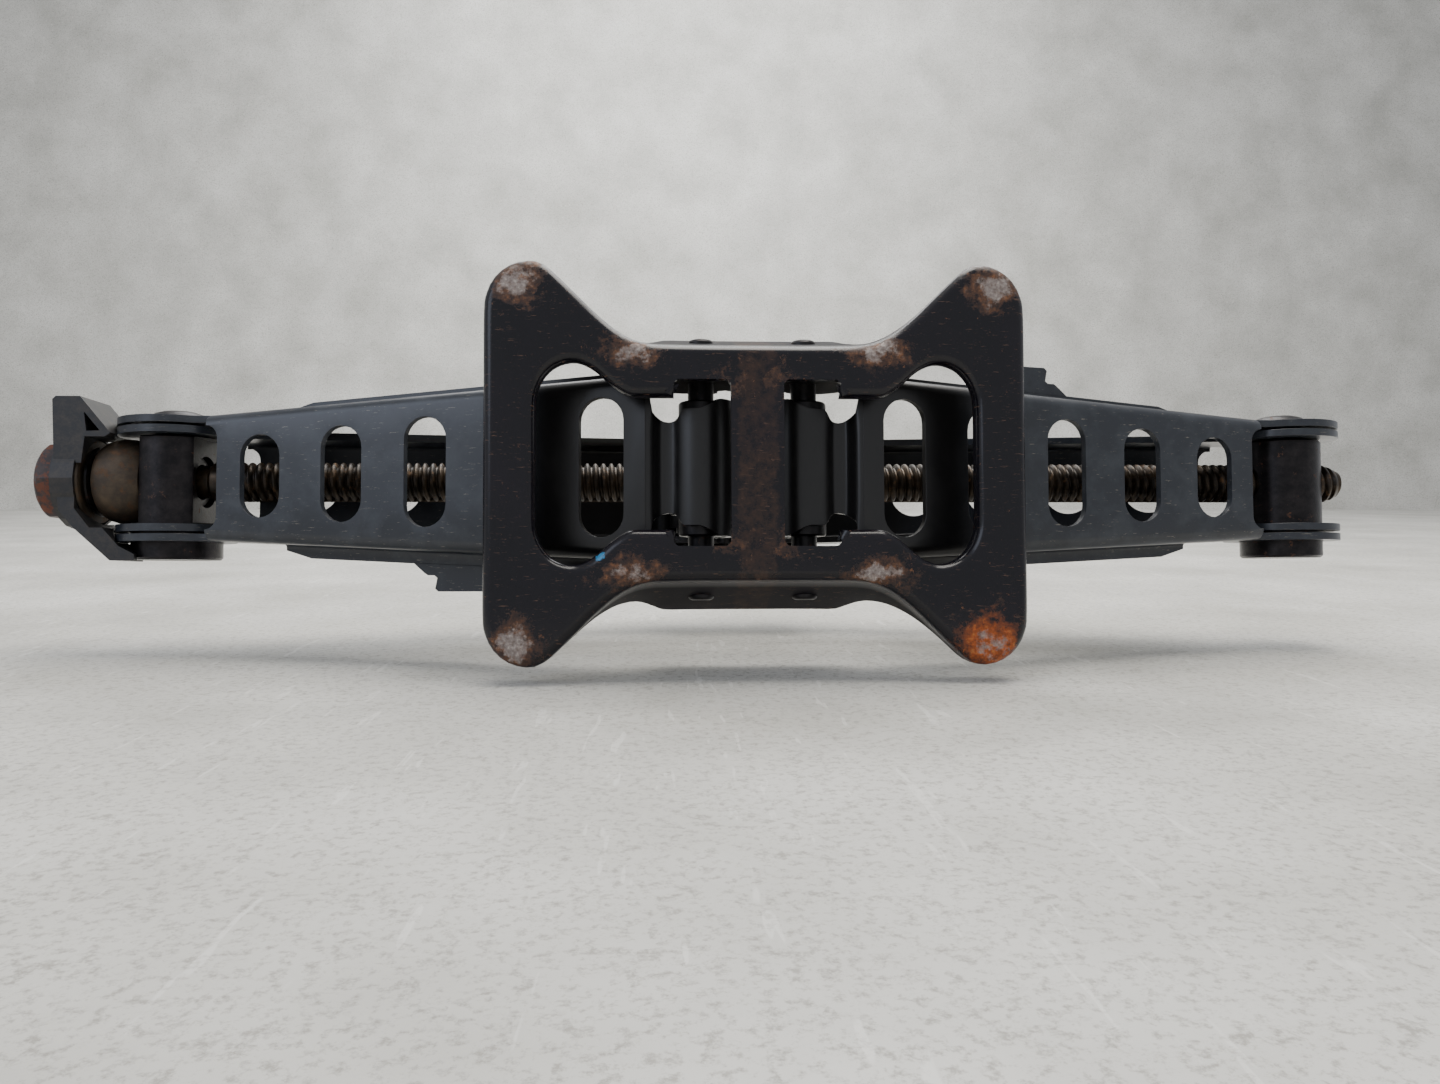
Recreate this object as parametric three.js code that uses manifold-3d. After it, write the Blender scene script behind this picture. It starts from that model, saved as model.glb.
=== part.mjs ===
// Scissor jack for a car, folded down: pressed base, four channel arms, two trunnions,
// a lead screw with a hexagon drive, and a saddle on top. Millimetres, +Z is the lift
// direction, X runs along the screw with the drive at -X, Y is the width.
// The underside of the base lies on Z = 0 with its centre at the origin.

import * as THREE from 'three';
import { mergeVertices } from 'three/addons/utils/BufferGeometryUtils.js';
import ManifoldModule from 'manifold-3d';

const wasm = await ManifoldModule();
wasm.setup();

// ---------------------------------------------------------------- driving dimensions

const SHEET = 2.5;              // thickness of the base and the saddle
const ARM_SHEET = 2;            // thickness of the arms
const GAP = 0.3;                // running clearance between pieces
const ROUND = 32;               // sides of a large round face
const CURVE = 6;                // steps in a small curve
const LAP = 0.05;               // overlap of solids that are joined end to end

const PIVOT_X = 13.2;           // pins of the base and of the saddle, either side of centre
const PIVOT_Z = 17.5;           // base pins above the ground
const TRUNNION_X = 159.7;       // trunnion axes, either side of centre
const SCREW_Z = 53.9;           // screw and trunnion axes above the ground
const ARM_LENGTH = Math.hypot(TRUNNION_X - PIVOT_X, SCREW_Z - PIVOT_Z);
const ARM_ANGLE = Math.atan2(SCREW_Z - PIVOT_Z, TRUNNION_X - PIVOT_X);
const SADDLE_Z = 2 * SCREW_Z - PIVOT_Z;

const WEB_DROP = 11.5;          // outer face of an arm's web, from the line between its pivots
const FLANGE_RISE = 5;          // free edge of an arm's flange, on the other side of that line
const EAR_RADIUS = 15.5;        // round ends of the arms at the trunnions
const WEB_START = 11.6;         // where the full width web begins, from the geared pivot

const TOOTH_COUNT = 12;         // teeth that a full circle would hold
const TOOTH_TIP = 14.6;
const TOOTH_ROOT = 11.4;
const HEEL_RADIUS = 12.9;       // untoothed part of a geared ear
const TOOTH_PLAY = 0.35;        // taken off each tooth's thickness

const PIN_RADIUS = 3.3;
const PIN_HEAD = 4.6;
const KNUCKLE_RADIUS = 8.5;     // rolled end of the web round a pin
const RELIEF_RADIUS = 3.5;      // round holes beside the tongue, at the ends of its fold
const RELIEF_ALONG = 6.8;
const RELIEF_ACROSS = 14.4;
const SLEEVE_RADIUS = 5.7;

const THRUST_RADIUS = 11.8;     // cross bar at the drive end
const NUT_RADIUS = 11;          // cross bar at the screw's free end
const TRUNNION_NECK = 6.2;
const SCREW_RADIUS = 5.6;
const SHANK_RADIUS = 4.7;
const SCREW_TAIL = 176.5;       // free end of the screw, beyond the nut trunnion
const HEX_FLATS = 20;           // drive hexagon, across its flats
const HEX_FROM = -188.6;
const HEX_TO = -194.7;

const LOWER = {                 // lower arm: wide at the base, lipped, five slots in its web
  gearHalf: 24, earHalf: 17.1, earFlat: 17.2, webEnd: 130.7, knuckleHalf: 17.3,
  lip: 3.5, lipStart: 20, lipEnd: 123.5,
};
const UPPER = {                 // upper arm: runs inside the lower arm, four round holes
  gearHalf: 16.5, earHalf: 14.4, earFlat: 25, webEnd: 130.7, knuckleHalf: 13.5,
  lip: 0, lipStart: 0, lipEnd: 0,
};

const BASE = {                  // flat part of the underside, half sizes
  halfLength: 63.3, cornerRadius: 8.3, cornerX: 55, cornerY: 38.3,
  waistHalf: 25.7, waistX: 22, bend: 3.2, rimZ: 29.5, rimGrow: 9.9, endRimZ: 9,
  rimFlatX: 20, rimEndX: 48,
};

// ---------------------------------------------------------------- solids and meshes

const { Manifold } = wasm;

function solid(geometry) {
  const bare = geometry.clone();
  bare.deleteAttribute('normal');
  bare.deleteAttribute('uv');
  const joined = mergeVertices(bare, 1e-4);
  return new Manifold(new wasm.Mesh({
    numProp: 3,
    vertProperties: new Float32Array(joined.attributes.position.array),
    triVerts: new Uint32Array(joined.index.array),
  }));
}

function joined(parts) {
  return parts.reduce((whole, part) => whole.add(part));
}

function cutAway(body, tools) {
  return tools.reduce((rest, tool) => rest.subtract(tool), body);
}

function meshOf(name, body, material) {
  const raw = body.getMesh();
  const geometry = new THREE.BufferGeometry();
  geometry.setAttribute('position', new THREE.BufferAttribute(new Float32Array(raw.vertProperties), 3));
  geometry.setIndex(new THREE.BufferAttribute(new Uint32Array(raw.triVerts), 1));
  const flat = geometry.toNonIndexed();
  flat.computeVertexNormals();
  const mesh = new THREE.Mesh(flat, material);
  mesh.name = name;
  return mesh;
}

function polygon(points) {
  return new THREE.Shape(points.map(([a, b]) => new THREE.Vector2(a, b)));
}

// A plan drawn in X and Y, raised from z0 to z1.
function slab(shape, z0, z1) {
  const options = { depth: z1 - z0, bevelEnabled: false, curveSegments: CURVE };
  return solid(new THREE.ExtrudeGeometry(shape, options).translate(0, 0, z0));
}

// A side view drawn in X and Z, widened from y0 to y1.
function sheet(shape, y0, y1) {
  const options = { depth: y1 - y0, bevelEnabled: false, curveSegments: CURVE };
  return solid(new THREE.ExtrudeGeometry(shape, options).rotateX(Math.PI / 2).translate(0, y1, 0));
}

function box(x0, x1, y0, y1, z0, z1) {
  const geometry = new THREE.BoxGeometry(x1 - x0, y1 - y0, z1 - z0);
  return solid(geometry.translate((x0 + x1) / 2, (y0 + y1) / 2, (z0 + z1) / 2));
}

// A round bar along Y.
function bar(radius, x, z, y0, y1, sides = ROUND) {
  const geometry = new THREE.CylinderGeometry(radius, radius, y1 - y0, sides);
  return solid(geometry.translate(x, (y0 + y1) / 2, z));
}

// A turned piece about the screw's axis: points are (radius, x).
function turnedOnScrew(points, sides = 24) {
  const profile = points.map(([radius, x]) => new THREE.Vector2(radius, x));
  const geometry = new THREE.LatheGeometry(profile, sides);
  return solid(geometry.rotateZ(-Math.PI / 2).translate(0, 0, SCREW_Z));
}

// ---------------------------------------------------------------- materials

function steel(color, roughness, metalness) {
  return new THREE.MeshStandardMaterial({ color, roughness, metalness });
}

const blackPaint = steel(0x15161a, 0.35, 0.3);
const armPaint = steel(0x3a4149, 0.45, 0.3);
const darkSteel = steel(0x2b2a2c, 0.45, 0.7);
const oiledSteel = steel(0x33291f, 0.5, 0.7);
const rustySteel = steel(0x6a4434, 0.75, 0.4);
const sootySteel = steel(0x4b3d2e, 0.7, 0.5);
const blackPlastic = steel(0x22252a, 0.6, 0.0);

// ---------------------------------------------------------------- base

// The outline of the flat underside: a bow tie with round corners and a straight waist.
function baseOutline() {
  const { halfLength, cornerRadius, cornerX, cornerY, waistHalf, waistX } = BASE;
  const slope = THREE.MathUtils.degToRad(45);
  const shoulder = [
    cornerX - cornerRadius * Math.sin(slope),
    cornerY + cornerRadius * Math.cos(slope),
  ];
  const waistStart = [waistX + 14, waistHalf + 5.2];
  const quarter = [[waistX, waistHalf], [waistX + 7.5, waistHalf + 1.2], waistStart, shoulder];
  for (let step = 1; step <= 7; step += 1) {
    const angle = Math.PI / 2 + slope - (step / 7) * (Math.PI / 2 + slope);
    quarter.push([cornerX + cornerRadius * Math.cos(angle), cornerY + cornerRadius * Math.sin(angle)]);
  }
  quarter[quarter.length - 1][0] = halfLength;
  const upperHalf = [...quarter.map(([x, y]) => [-x, y]).reverse(), ...quarter];
  const lowerHalf = upperHalf.map(([x, y]) => [x, -y]).reverse();
  return polygon([...upperHalf, ...lowerHalf]);
}

// The solid inside the outline grown by grow0 at z0 and by grow1 at z1.
function flared(grow0, z0, grow1, z1) {
  const geometry = new THREE.ExtrudeGeometry(baseOutline(), {
    depth: 1, bevelEnabled: true, bevelSegments: 1,
    bevelThickness: z1 - z0, bevelSize: grow1 - grow0, bevelOffset: grow0,
  });
  const whole = solid(geometry.translate(0, 0, z1));
  return whole.intersect(box(-120, 120, -120, 120, z0, z1));
}

function windowOutline(grow) {
  const [cx, cy, radius] = [44.3, 15.3, 8.5 + grow];
  const [neckX, neckY] = [30 - grow * 0.3, 15.5 + grow];
  const innerX = 20.2;
  const turn = Math.PI - Math.acos(radius / (cx - neckX));
  const right = [];
  for (let step = 0; step <= 8; step += 1) {
    const angle = turn * (1 - step / 8);
    right.push([cx + radius * Math.cos(angle), cy + radius * Math.sin(angle)]);
  }
  const half = [[innerX, neckY], [neckX, neckY], ...right];
  return [...half, ...half.map(([x, y]) => [x, -y]).reverse()];
}

function mirroredX(points) {
  return points.map(([x, y]) => [-x, y]).reverse();
}

function basePlate() {
  const { bend, rimZ, rimGrow, endRimZ, rimFlatX, rimEndX } = BASE;
  const flare = (rimGrow - bend) / (rimZ - bend);
  const outer = flared(0, 0, bend, bend).add(flared(bend - 2 * LAP, bend - LAP, rimGrow, rimZ));
  const wallShift = SHEET * Math.hypot(1, flare);
  const floorGrow = SHEET - SHEET * Math.SQRT2;
  const kneeZ = (floorGrow - SHEET - bend + wallShift + flare * bend) / (flare - 1);
  const kneeGrow = kneeZ - SHEET + floorGrow;
  const topZ = rimZ + 1;
  const inner = flared(floorGrow, SHEET, kneeGrow, kneeZ)
    .add(flared(kneeGrow - 2 * LAP, kneeZ - LAP, kneeGrow + flare * (topZ - kneeZ), topZ));
  const profile = polygon([
    [-80, -1], [80, -1], [80, endRimZ], [rimEndX, endRimZ], [rimFlatX, rimZ + 0.5],
    [-rimFlatX, rimZ + 0.5], [-rimEndX, endRimZ], [-80, endRimZ],
  ]);
  const pan = outer.subtract(inner).intersect(sheet(profile, -80, 80));
  const lips = [];
  const holes = [];
  for (const side of [1, -1]) {
    const outlineOf = (grow) => polygon(side > 0 ? windowOutline(grow) : mirroredX(windowOutline(grow)));
    lips.push(slab(outlineOf(2.2), 1, 5).intersect(box(-70, 70, -40, 40, 0, 6)));
    holes.push(slab(outlineOf(0), -1, 8));
    const [x0, x1] = side > 0 ? [6.4, 20.21] : [-20.21, -6.4];
    holes.push(box(x0, x1, -20, 20, -1, 8));
    holes.push(bar(PIN_RADIUS + GAP, side * PIVOT_X, PIVOT_Z, -50, 50, 16));
  }
  return cutAway(joined([pan, ...lips]), holes);
}

// Where the outer face of the base's wall stands at the height of the pins.
function wallAtPins() {
  const { waistHalf, bend, rimZ, rimGrow } = BASE;
  return waistHalf + bend + ((PIVOT_Z - bend) * (rimGrow - bend)) / (rimZ - bend);
}

// ---------------------------------------------------------------- arms

// One tooth's flank as [radius, half angle] pairs, from the root to the tip.
function toothFlank() {
  const pitchRadius = PIVOT_X;
  const pressure = THREE.MathUtils.degToRad(20);
  const baseRadius = pitchRadius * Math.cos(pressure);
  const involute = (angle) => Math.tan(angle) - angle;
  const halfPitch = Math.PI / (2 * TOOTH_COUNT) - TOOTH_PLAY / (2 * pitchRadius);
  const halfAt = (radius) => halfPitch + involute(pressure) - involute(Math.acos(baseRadius / radius));
  const radii = [pitchRadius, TOOTH_TIP];
  return [[TOOTH_ROOT, halfAt(baseRadius)], ...radii.map((radius) => [radius, halfAt(radius)])];
}

// Side view of a geared ear about its pivot. Angles are degrees from the arm's direction.
function gearedEar(toothAngles, side) {
  const rad = THREE.MathUtils.degToRad;
  const rootMargin = 22;
  const first = toothAngles[0] - rootMargin;
  const last = toothAngles[toothAngles.length - 1] + rootMargin;
  const points = [];
  const put = (radius, angle) => points.push([side * radius * Math.cos(angle), radius * Math.sin(angle)]);
  put(TOOTH_ROOT, rad(first));
  for (const angle of toothAngles) {
    const flank = toothFlank();
    flank.forEach(([radius, half]) => put(radius, rad(angle) - half));
    [...flank].reverse().forEach(([radius, half]) => put(radius, rad(angle) + half));
  }
  put(TOOTH_ROOT, rad(last));
  const steps = 9;
  for (let step = 0; step <= steps; step += 1) {
    put(HEEL_RADIUS, rad(last + ((first + 360 - last) * step) / steps));
  }
  return polygon(side > 0 ? points : points.reverse());
}

function trunnionRadius(side) {
  return side < 0 ? THRUST_RADIUS : NUT_RADIUS;
}

// Half width of an arm at a distance from its geared pivot.
function armHalf(kind, along) {
  const taperEnd = ARM_LENGTH - kind.earFlat;
  const share = Math.min(along / taperEnd, 1);
  return kind.gearHalf + (kind.earHalf - kind.gearHalf) * share;
}

// Plan of an arm: straight ears at the trunnion, a taper to the geared end.
function armPlan(kind, side, inset) {
  const far = ARM_LENGTH + 30;
  const knee = ARM_LENGTH - kind.earFlat;
  const points = [
    [-30, kind.gearHalf - inset], [0, kind.gearHalf - inset],
    [knee, kind.earHalf - inset], [far, kind.earHalf - inset],
  ];
  const outline = [...points, ...points.map(([x, y]) => [x, -y]).reverse()];
  return polygon(outline.map(([x, y]) => [side * x, y]));
}

// Side view of a flange without its gear.
function flangeSide(side) {
  return polygon([
    [0, -WEB_DROP], [ARM_LENGTH - 12, -WEB_DROP], [ARM_LENGTH, 0],
    [ARM_LENGTH - 10, FLANGE_RISE], [3, FLANGE_RISE], [0, 0],
  ].map(([x, z]) => [side * x, z]));
}

// A long bar across the arms, on one side of Y only.
function sideBar(radius, x, across) {
  return bar(radius, x, 0, Math.min(0, across * 60), Math.max(0, across * 60));
}

// An arm about its geared pivot, running along side * X, with its web below and its
// channel open upwards. bigEar is the side of Y whose ear takes the trunnion's full bar.
function armBody(kind, side, toothAngles, bigEar) {
  const outside = slab(armPlan(kind, side, 0), -30, 30);
  const channel = outside.subtract(slab(armPlan(kind, side, ARM_SHEET), -WEB_DROP + ARM_SHEET, 31));
  const walls = outside.subtract(slab(armPlan(kind, side, ARM_SHEET), -31, 31));
  const sides = joined([
    sheet(flangeSide(side), -60, 60),
    sheet(gearedEar(toothAngles, side), -60, 60),
    bar(EAR_RADIUS, side * ARM_LENGTH, 0, -60, 60, 36),
  ]);
  const flanges = walls.intersect(sides);
  const webBox = side > 0
    ? box(WEB_START, kind.webEnd, -60, 60, -WEB_DROP, -WEB_DROP + ARM_SHEET)
    : box(-kind.webEnd, -WEB_START, -60, 60, -WEB_DROP, -WEB_DROP + ARM_SHEET);
  const web = channel.intersect(webBox);
  const step = [
    [3, -KNUCKLE_RADIUS + 0.2], [WEB_START - 2, -WEB_DROP + 1.6], [WEB_START + 0.5, -WEB_DROP + 1.6],
    [WEB_START + 0.5, -WEB_DROP + 3.8], [3, -KNUCKLE_RADIUS + 2.7],
  ];
  const half = kind.knuckleHalf;
  const tongue = sheet(polygon(step.map(([x, z]) => [side * x, z])), -half, half);
  const knuckle = bar(KNUCKLE_RADIUS, 0, 0, -half, half);
  const parts = [flanges, web, tongue, knuckle];
  if (kind.lip > 0) parts.push(armLip(kind, side));
  const tools = [
    bar(SLEEVE_RADIUS + GAP, 0, 0, -half - 1, half + 1),
    bar(PIN_RADIUS + GAP, 0, 0, -60, 60, 16),
    sideBar(trunnionRadius(side) + GAP, side * ARM_LENGTH, bigEar),
    sideBar(TRUNNION_NECK + GAP, side * ARM_LENGTH, -bigEar),
    ...webRelief(side),
  ];
  return cutAway(joined(parts), tools);
}

// Round reliefs beside the tongue, which stays narrow from there to where it rolls over.
function webRelief(side) {
  const waist = [
    [RELIEF_ALONG, RELIEF_ACROSS], [-2.5, RELIEF_ACROSS], [-5, 15], [-6.6, 16], [-7.6, 17.6],
    [RELIEF_ALONG, 17.6],
  ];
  const tools = [];
  for (const edge of [1, -1]) {
    const hole = new THREE.CylinderGeometry(RELIEF_RADIUS, RELIEF_RADIUS, 12, 16).rotateX(Math.PI / 2);
    tools.push(solid(hole.translate(side * RELIEF_ALONG, edge * RELIEF_ACROSS, -WEB_DROP + 2)));
    tools.push(slab(polygon(waist.map(([x, y]) => [side * x, edge * y])), -WEB_DROP, 0));
  }
  return tools;
}

// The flanges' free edges turned outwards into a lip.
function armLip(kind, side) {
  const { lip, lipStart, lipEnd } = kind;
  const edge = (along, extra) => [side * along, armHalf(kind, along) + extra];
  const band = [
    edge(lipStart, -0.5), edge(lipEnd, -0.5), edge(lipEnd, lip - 1.5), edge(lipEnd - 2, lip),
    edge(lipStart + 3, lip), edge(lipStart, lip - 1.5),
  ];
  const lips = [];
  for (const across of [1, -1]) {
    lips.push(slab(polygon(band.map(([x, y]) => [x, across * y])), FLANGE_RISE - ARM_SHEET, FLANGE_RISE));
  }
  return joined(lips);
}

// A stop tab that widens one lip of a lower arm.
function stopTab(side, across) {
  const inner = (along) => armHalf(LOWER, along) + LOWER.lip - 0.5;
  const outline = [
    [52, inner(52)], [81, inner(81)], [77, 26.6], [74.6, 26.6], [73.6, 27.4], [74.2, 31], [54, 31],
  ];
  const shape = polygon(outline.map(([x, y]) => [side * x, across * y]));
  return slab(shape, FLANGE_RISE - ARM_SHEET, FLANGE_RISE);
}

function lowerSlots(side) {
  const tools = [];
  for (let index = 0; index < 5; index += 1) {
    const centre = 23 + 23.7 * index;
    const half = 17.5 - 1.6 * index;
    tools.push(slab(slotShape(side * centre, half, 5.8), -WEB_DROP - 1, -WEB_DROP + ARM_SHEET + 1));
  }
  return tools;
}

function slotShape(x, half, radius) {
  const shape = new THREE.Shape();
  shape.absarc(x, half - radius, radius, 0, Math.PI, false);
  shape.absarc(x, -half + radius, radius, Math.PI, 2 * Math.PI, false);
  shape.closePath();
  return shape;
}

function upperHoles(side) {
  const tools = [];
  for (let index = 0; index < 4; index += 1) {
    const geometry = new THREE.CylinderGeometry(7.4, 7.4, 6, 20).rotateX(Math.PI / 2);
    tools.push(solid(geometry.translate(side * (44 + 24 * index), 0, -WEB_DROP + 1)));
  }
  return tools;
}

// Teeth of a left and a right arm stand half a pitch apart, so that they mesh.
function toothAngles(side) {
  const meshAngle = 180 - THREE.MathUtils.radToDeg(ARM_ANGLE);
  const pitch = 360 / TOOTH_COUNT;
  const steps = side > 0 ? [-2, -1, 0] : [-2.5, -1.5, -0.5, 0.5];
  return steps.map((step) => meshAngle + step * pitch);
}

function lowerArm(side) {
  const body = armBody(LOWER, side, toothAngles(side), 1).add(stopTab(side, -side));
  return cutAway(body, lowerSlots(side));
}

function upperArm(side) {
  return cutAway(armBody(UPPER, side, toothAngles(side), -1), upperHoles(side));
}

// ---------------------------------------------------------------- pins, sleeves, trunnions

// A pin riveted over at both ends, along Y through the origin.
function rivetedPin(faceY) {
  const start = faceY + GAP;
  const points = [
    [0, -start - 2], [PIN_HEAD - 1.4, -start - 2], [PIN_HEAD, -start - 0.8], [PIN_HEAD, -start],
    [PIN_RADIUS, -start], [PIN_RADIUS, start], [PIN_HEAD, start], [PIN_HEAD, start + 0.8],
    [PIN_HEAD - 1.4, start + 2], [0, start + 2],
  ];
  return solid(new THREE.LatheGeometry(points.map(([radius, y]) => new THREE.Vector2(radius, y)), 16));
}

// A pin that ends just proud of the base's sloping walls.
function basePin() {
  const end = wallAtPins() + 0.9;
  const points = [
    [0, -end], [PIN_RADIUS - 1, -end], [PIN_RADIUS, -end + 0.8], [PIN_RADIUS, end - 0.8],
    [PIN_RADIUS - 1, end], [0, end],
  ];
  return solid(new THREE.LatheGeometry(points.map(([radius, y]) => new THREE.Vector2(radius, y)), 16));
}

function sleeve(kind) {
  const half = kind.knuckleHalf - 0.2;
  return bar(SLEEVE_RADIUS, 0, 0, -half, half, 20).subtract(bar(PIN_RADIUS + GAP, 0, 0, -30, 30, 16));
}

// A cross bar along Y about its own centre, necked and spun over at -Y.
function trunnionBar(radius) {
  const shoulder = UPPER.earHalf - ARM_SHEET - GAP;
  const cap = LOWER.earHalf + GAP;
  const points = [
    [0, -cap - 2.4], [5.5, -cap - 2.4], [7.7, -cap - 1.2], [7.7, -cap], [TRUNNION_NECK, -cap],
    [TRUNNION_NECK, -shoulder], [radius, -shoulder], [radius, 22], [0, 22],
  ];
  return solid(new THREE.LatheGeometry(points.map(([r, y]) => new THREE.Vector2(r, y)), ROUND));
}

function screwBore(radius, x0, x1) {
  const geometry = new THREE.CylinderGeometry(radius, radius, x1 - x0, 20).rotateZ(Math.PI / 2);
  return solid(geometry.translate((x0 + x1) / 2, 0, 0));
}

// The thrust trunnion has a seat for the bush outside, and a flat with the collar's recess inside.
function thrustTrunnion() {
  return cutAway(trunnionBar(THRUST_RADIUS), [
    box(-20, -6.3, -12.4, 11.8, -20, 20), box(7.8, 20, -11.9, 11.9, -20, 20),
    screwBore(SHANK_RADIUS + GAP, -30, 30), screwBore(7.3, 2, 30),
  ]);
}

function nutTrunnion() {
  return trunnionBar(NUT_RADIUS).subtract(screwBore(SCREW_RADIUS + GAP, -30, 30));
}

// ---------------------------------------------------------------- saddle

function saddleBody() {
  const wallY = UPPER.gearHalf + 0.4;
  const under = SADDLE_Z + PIVOT_Z - SHEET;
  const top = SADDLE_Z + PIVOT_Z;
  const side = [
    [-22, SADDLE_Z - 7], [22, SADDLE_Z - 7], [25.5, SADDLE_Z - 3.5],
    [27, top], [-27, top], [-25.5, SADDLE_Z - 3.5],
  ];
  const outer = sheet(polygon(side), -wallY - SHEET, wallY + SHEET);
  const inner = box(-40, 40, -wallY, wallY, 0, under);
  const groove = polygon([[-5.5, top + 1], [-3.6, top - 5], [3.6, top - 5], [5.5, top + 1]]);
  const grooveOut = polygon([[-8, top - 1], [-6, top - 5 - SHEET], [6, top - 5 - SHEET], [8, top - 1]]);
  const alongX = (shape) => solid(
    new THREE.ExtrudeGeometry(shape, { depth: 80, bevelEnabled: false })
      .rotateX(Math.PI / 2).rotateZ(Math.PI / 2).translate(-40, 0, 0),
  );
  const trough = alongX(grooveOut).intersect(box(-26.9, 26.9, -20, 20, 0, 200));
  const shell = outer.subtract(inner).add(trough).subtract(alongX(groove));
  return cutAway(shell, [
    bar(PIN_RADIUS + GAP, PIVOT_X, SADDLE_Z, -40, 40, 16),
    bar(PIN_RADIUS + GAP, -PIVOT_X, SADDLE_Z, -40, 40, 16),
  ]);
}

// ---------------------------------------------------------------- screw and its fittings

function leadScrew() {
  return turnedOnScrew([
    [0, -191.5], [SHANK_RADIUS, -191.5], [SHANK_RADIUS, -149], [SCREW_RADIUS, -149],
    [SCREW_RADIUS, SCREW_TAIL - 2.5], [SCREW_RADIUS - 1.6, SCREW_TAIL], [0, SCREW_TAIL],
  ], 20);
}

// A blind hexagon, rounded at the outer end.
function driveHex() {
  const corner = HEX_FLATS / Math.cos(Math.PI / 6) / 2;
  const length = HEX_FROM - HEX_TO;
  const prism = new THREE.CylinderGeometry(corner, corner, length, 6).rotateZ(Math.PI / 2);
  prism.rotateX(Math.PI / 6).translate((HEX_FROM + HEX_TO) / 2, 0, SCREW_Z);
  const envelope = turnedOnScrew([
    [0, HEX_TO], [8.4, HEX_TO], [10.2, HEX_TO + 1.1], [corner + 0.2, HEX_TO + 3],
    [corner + 0.2, HEX_FROM], [0, HEX_FROM],
  ]);
  return solid(prism).intersect(envelope).subtract(screwSleeve(SHANK_RADIUS + GAP, -191.8, -170));
}

// A round rod on the screw's axis, for bores.
function screwSleeve(radius, x0, x1) {
  return turnedOnScrew([[0, x0], [radius, x0], [radius, x1], [0, x1]], 20);
}

// A washer dished towards the drive.
function cuppedWasher() {
  const inner = SHANK_RADIUS + GAP;
  return turnedOnScrew([
    [inner, -184.3], [8, -184.3], [11.2, -183.5], [11.9, -181.9], [10.6, -181.5],
    [7.4, -182.2], [inner, -182.2],
    [inner, -184.3],
  ]);
}

function plainWasher() {
  const inner = SHANK_RADIUS + GAP;
  return turnedOnScrew([
    [inner, -181.6], [7.2, -181.6], [9.8, -180.9], [9.8, -180.1], [inner, -180.1], [inner, -181.6],
  ]);
}

// A barrel shaped bush that carries the screw's thrust into the trunnion.
function thrustBush() {
  const inner = SHANK_RADIUS + GAP;
  return turnedOnScrew([
    [inner, -179.8], [7.6, -179.8], [10.2, -178.7], [11.6, -176.2], [12, -173.2], [11.7, -170],
    [10.8, -167.4], [9.8, -166.3], [inner, -166.3], [inner, -179.8],
  ]);
}

// A collar on the screw that sits in the thrust trunnion's recess.
function retainingCollar() {
  const inner = SHANK_RADIUS + GAP;
  return turnedOnScrew([
    [inner, -157.3], [6.5, -157.3], [6.9, -156.9], [6.9, -153.5], [6.5, -153.1],
    [inner, -153.1], [inner, -157.3],
  ]);
}

// A moulded bracket round the screw's neck: a ribbed wing at -Y and a slanting strip at +Y
// that reaches the end of the trunnion's bar and keeps the bracket from turning.
function endBracket() {
  const near = SCREW_Z - 12;
  const far = SCREW_Z + 4;
  const plan = polygon([
    [-188.3, -21.5], [-187.4, -22.4], [-181, -22.4], [-172.8, -12.4], [-174.2, -11.4], [-179.6, -11.4],
    [-180.4, -4.2], [-182, -4.2], [-182, 8.2], [-178, 13.4], [-174.6, 13.4], [-170.2, 18.4], [-166, 20.6],
    [-166, 22.3], [-172.4, 22.3], [-182.2, 13.4], [-186.2, 8.6], [-187.6, -4],
  ]);
  const hub = screwSleeve(13.2, -188.2, -182);
  const body = slab(plan, near, far).add(hub);
  const pocket = polygon([[-179.9, -18.2], [-175.6, -13], [-179.2, -12.9]]);
  return cutAway(body, [
    slab(pocket, near - 1, near + 7),
    screwSleeve(SHANK_RADIUS + GAP, -200, -160),
    screwSleeve(12.5, -184.7, -160),
    bar(THRUST_RADIUS + GAP, -TRUNNION_X, SCREW_Z, -40, 40),
    bar(EAR_RADIUS + 0.6, -TRUNNION_X, SCREW_Z, -LOWER.earHalf - 0.5, LOWER.earHalf + 0.5),
  ]);
}

// ---------------------------------------------------------------- assembly

const jack = new THREE.Group();

function place(mesh, x, y, z, tilt = 0, flip = false) {
  const holder = new THREE.Group();
  holder.position.set(x, y, z);
  holder.rotation.y = tilt;
  if (flip) mesh.rotation.x = Math.PI;
  holder.add(mesh);
  jack.add(holder);
}

jack.add(meshOf('base_plate', basePlate(), blackPaint));
jack.add(meshOf('saddle', saddleBody(), armPaint));

for (const [side, hand] of [[-1, 'left'], [1, 'right']]) {
  const pivotX = side * PIVOT_X;
  const trunnionX = side * TRUNNION_X;
  place(meshOf(`base_pin_${hand}`, basePin(), darkSteel), pivotX, 0, PIVOT_Z);
  place(meshOf(`base_sleeve_${hand}`, sleeve(LOWER), darkSteel), pivotX, 0, PIVOT_Z);
  place(meshOf(`lower_arm_${hand}`, lowerArm(side), armPaint), pivotX, 0, PIVOT_Z, -side * ARM_ANGLE);
  const trunnion = side < 0 ? thrustTrunnion() : nutTrunnion();
  place(meshOf(side < 0 ? 'thrust_trunnion' : 'nut_trunnion', trunnion, darkSteel), trunnionX, 0, SCREW_Z);
  place(meshOf(`upper_arm_${hand}`, upperArm(side), armPaint), pivotX, 0, SADDLE_Z, side * ARM_ANGLE, true);
  place(meshOf(`saddle_sleeve_${hand}`, sleeve(UPPER), darkSteel), pivotX, 0, SADDLE_Z);
  const pinHalf = UPPER.gearHalf + 0.4 + SHEET;
  place(meshOf(`saddle_pin_${hand}`, rivetedPin(pinHalf), darkSteel), pivotX, 0, SADDLE_Z);
}

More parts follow.
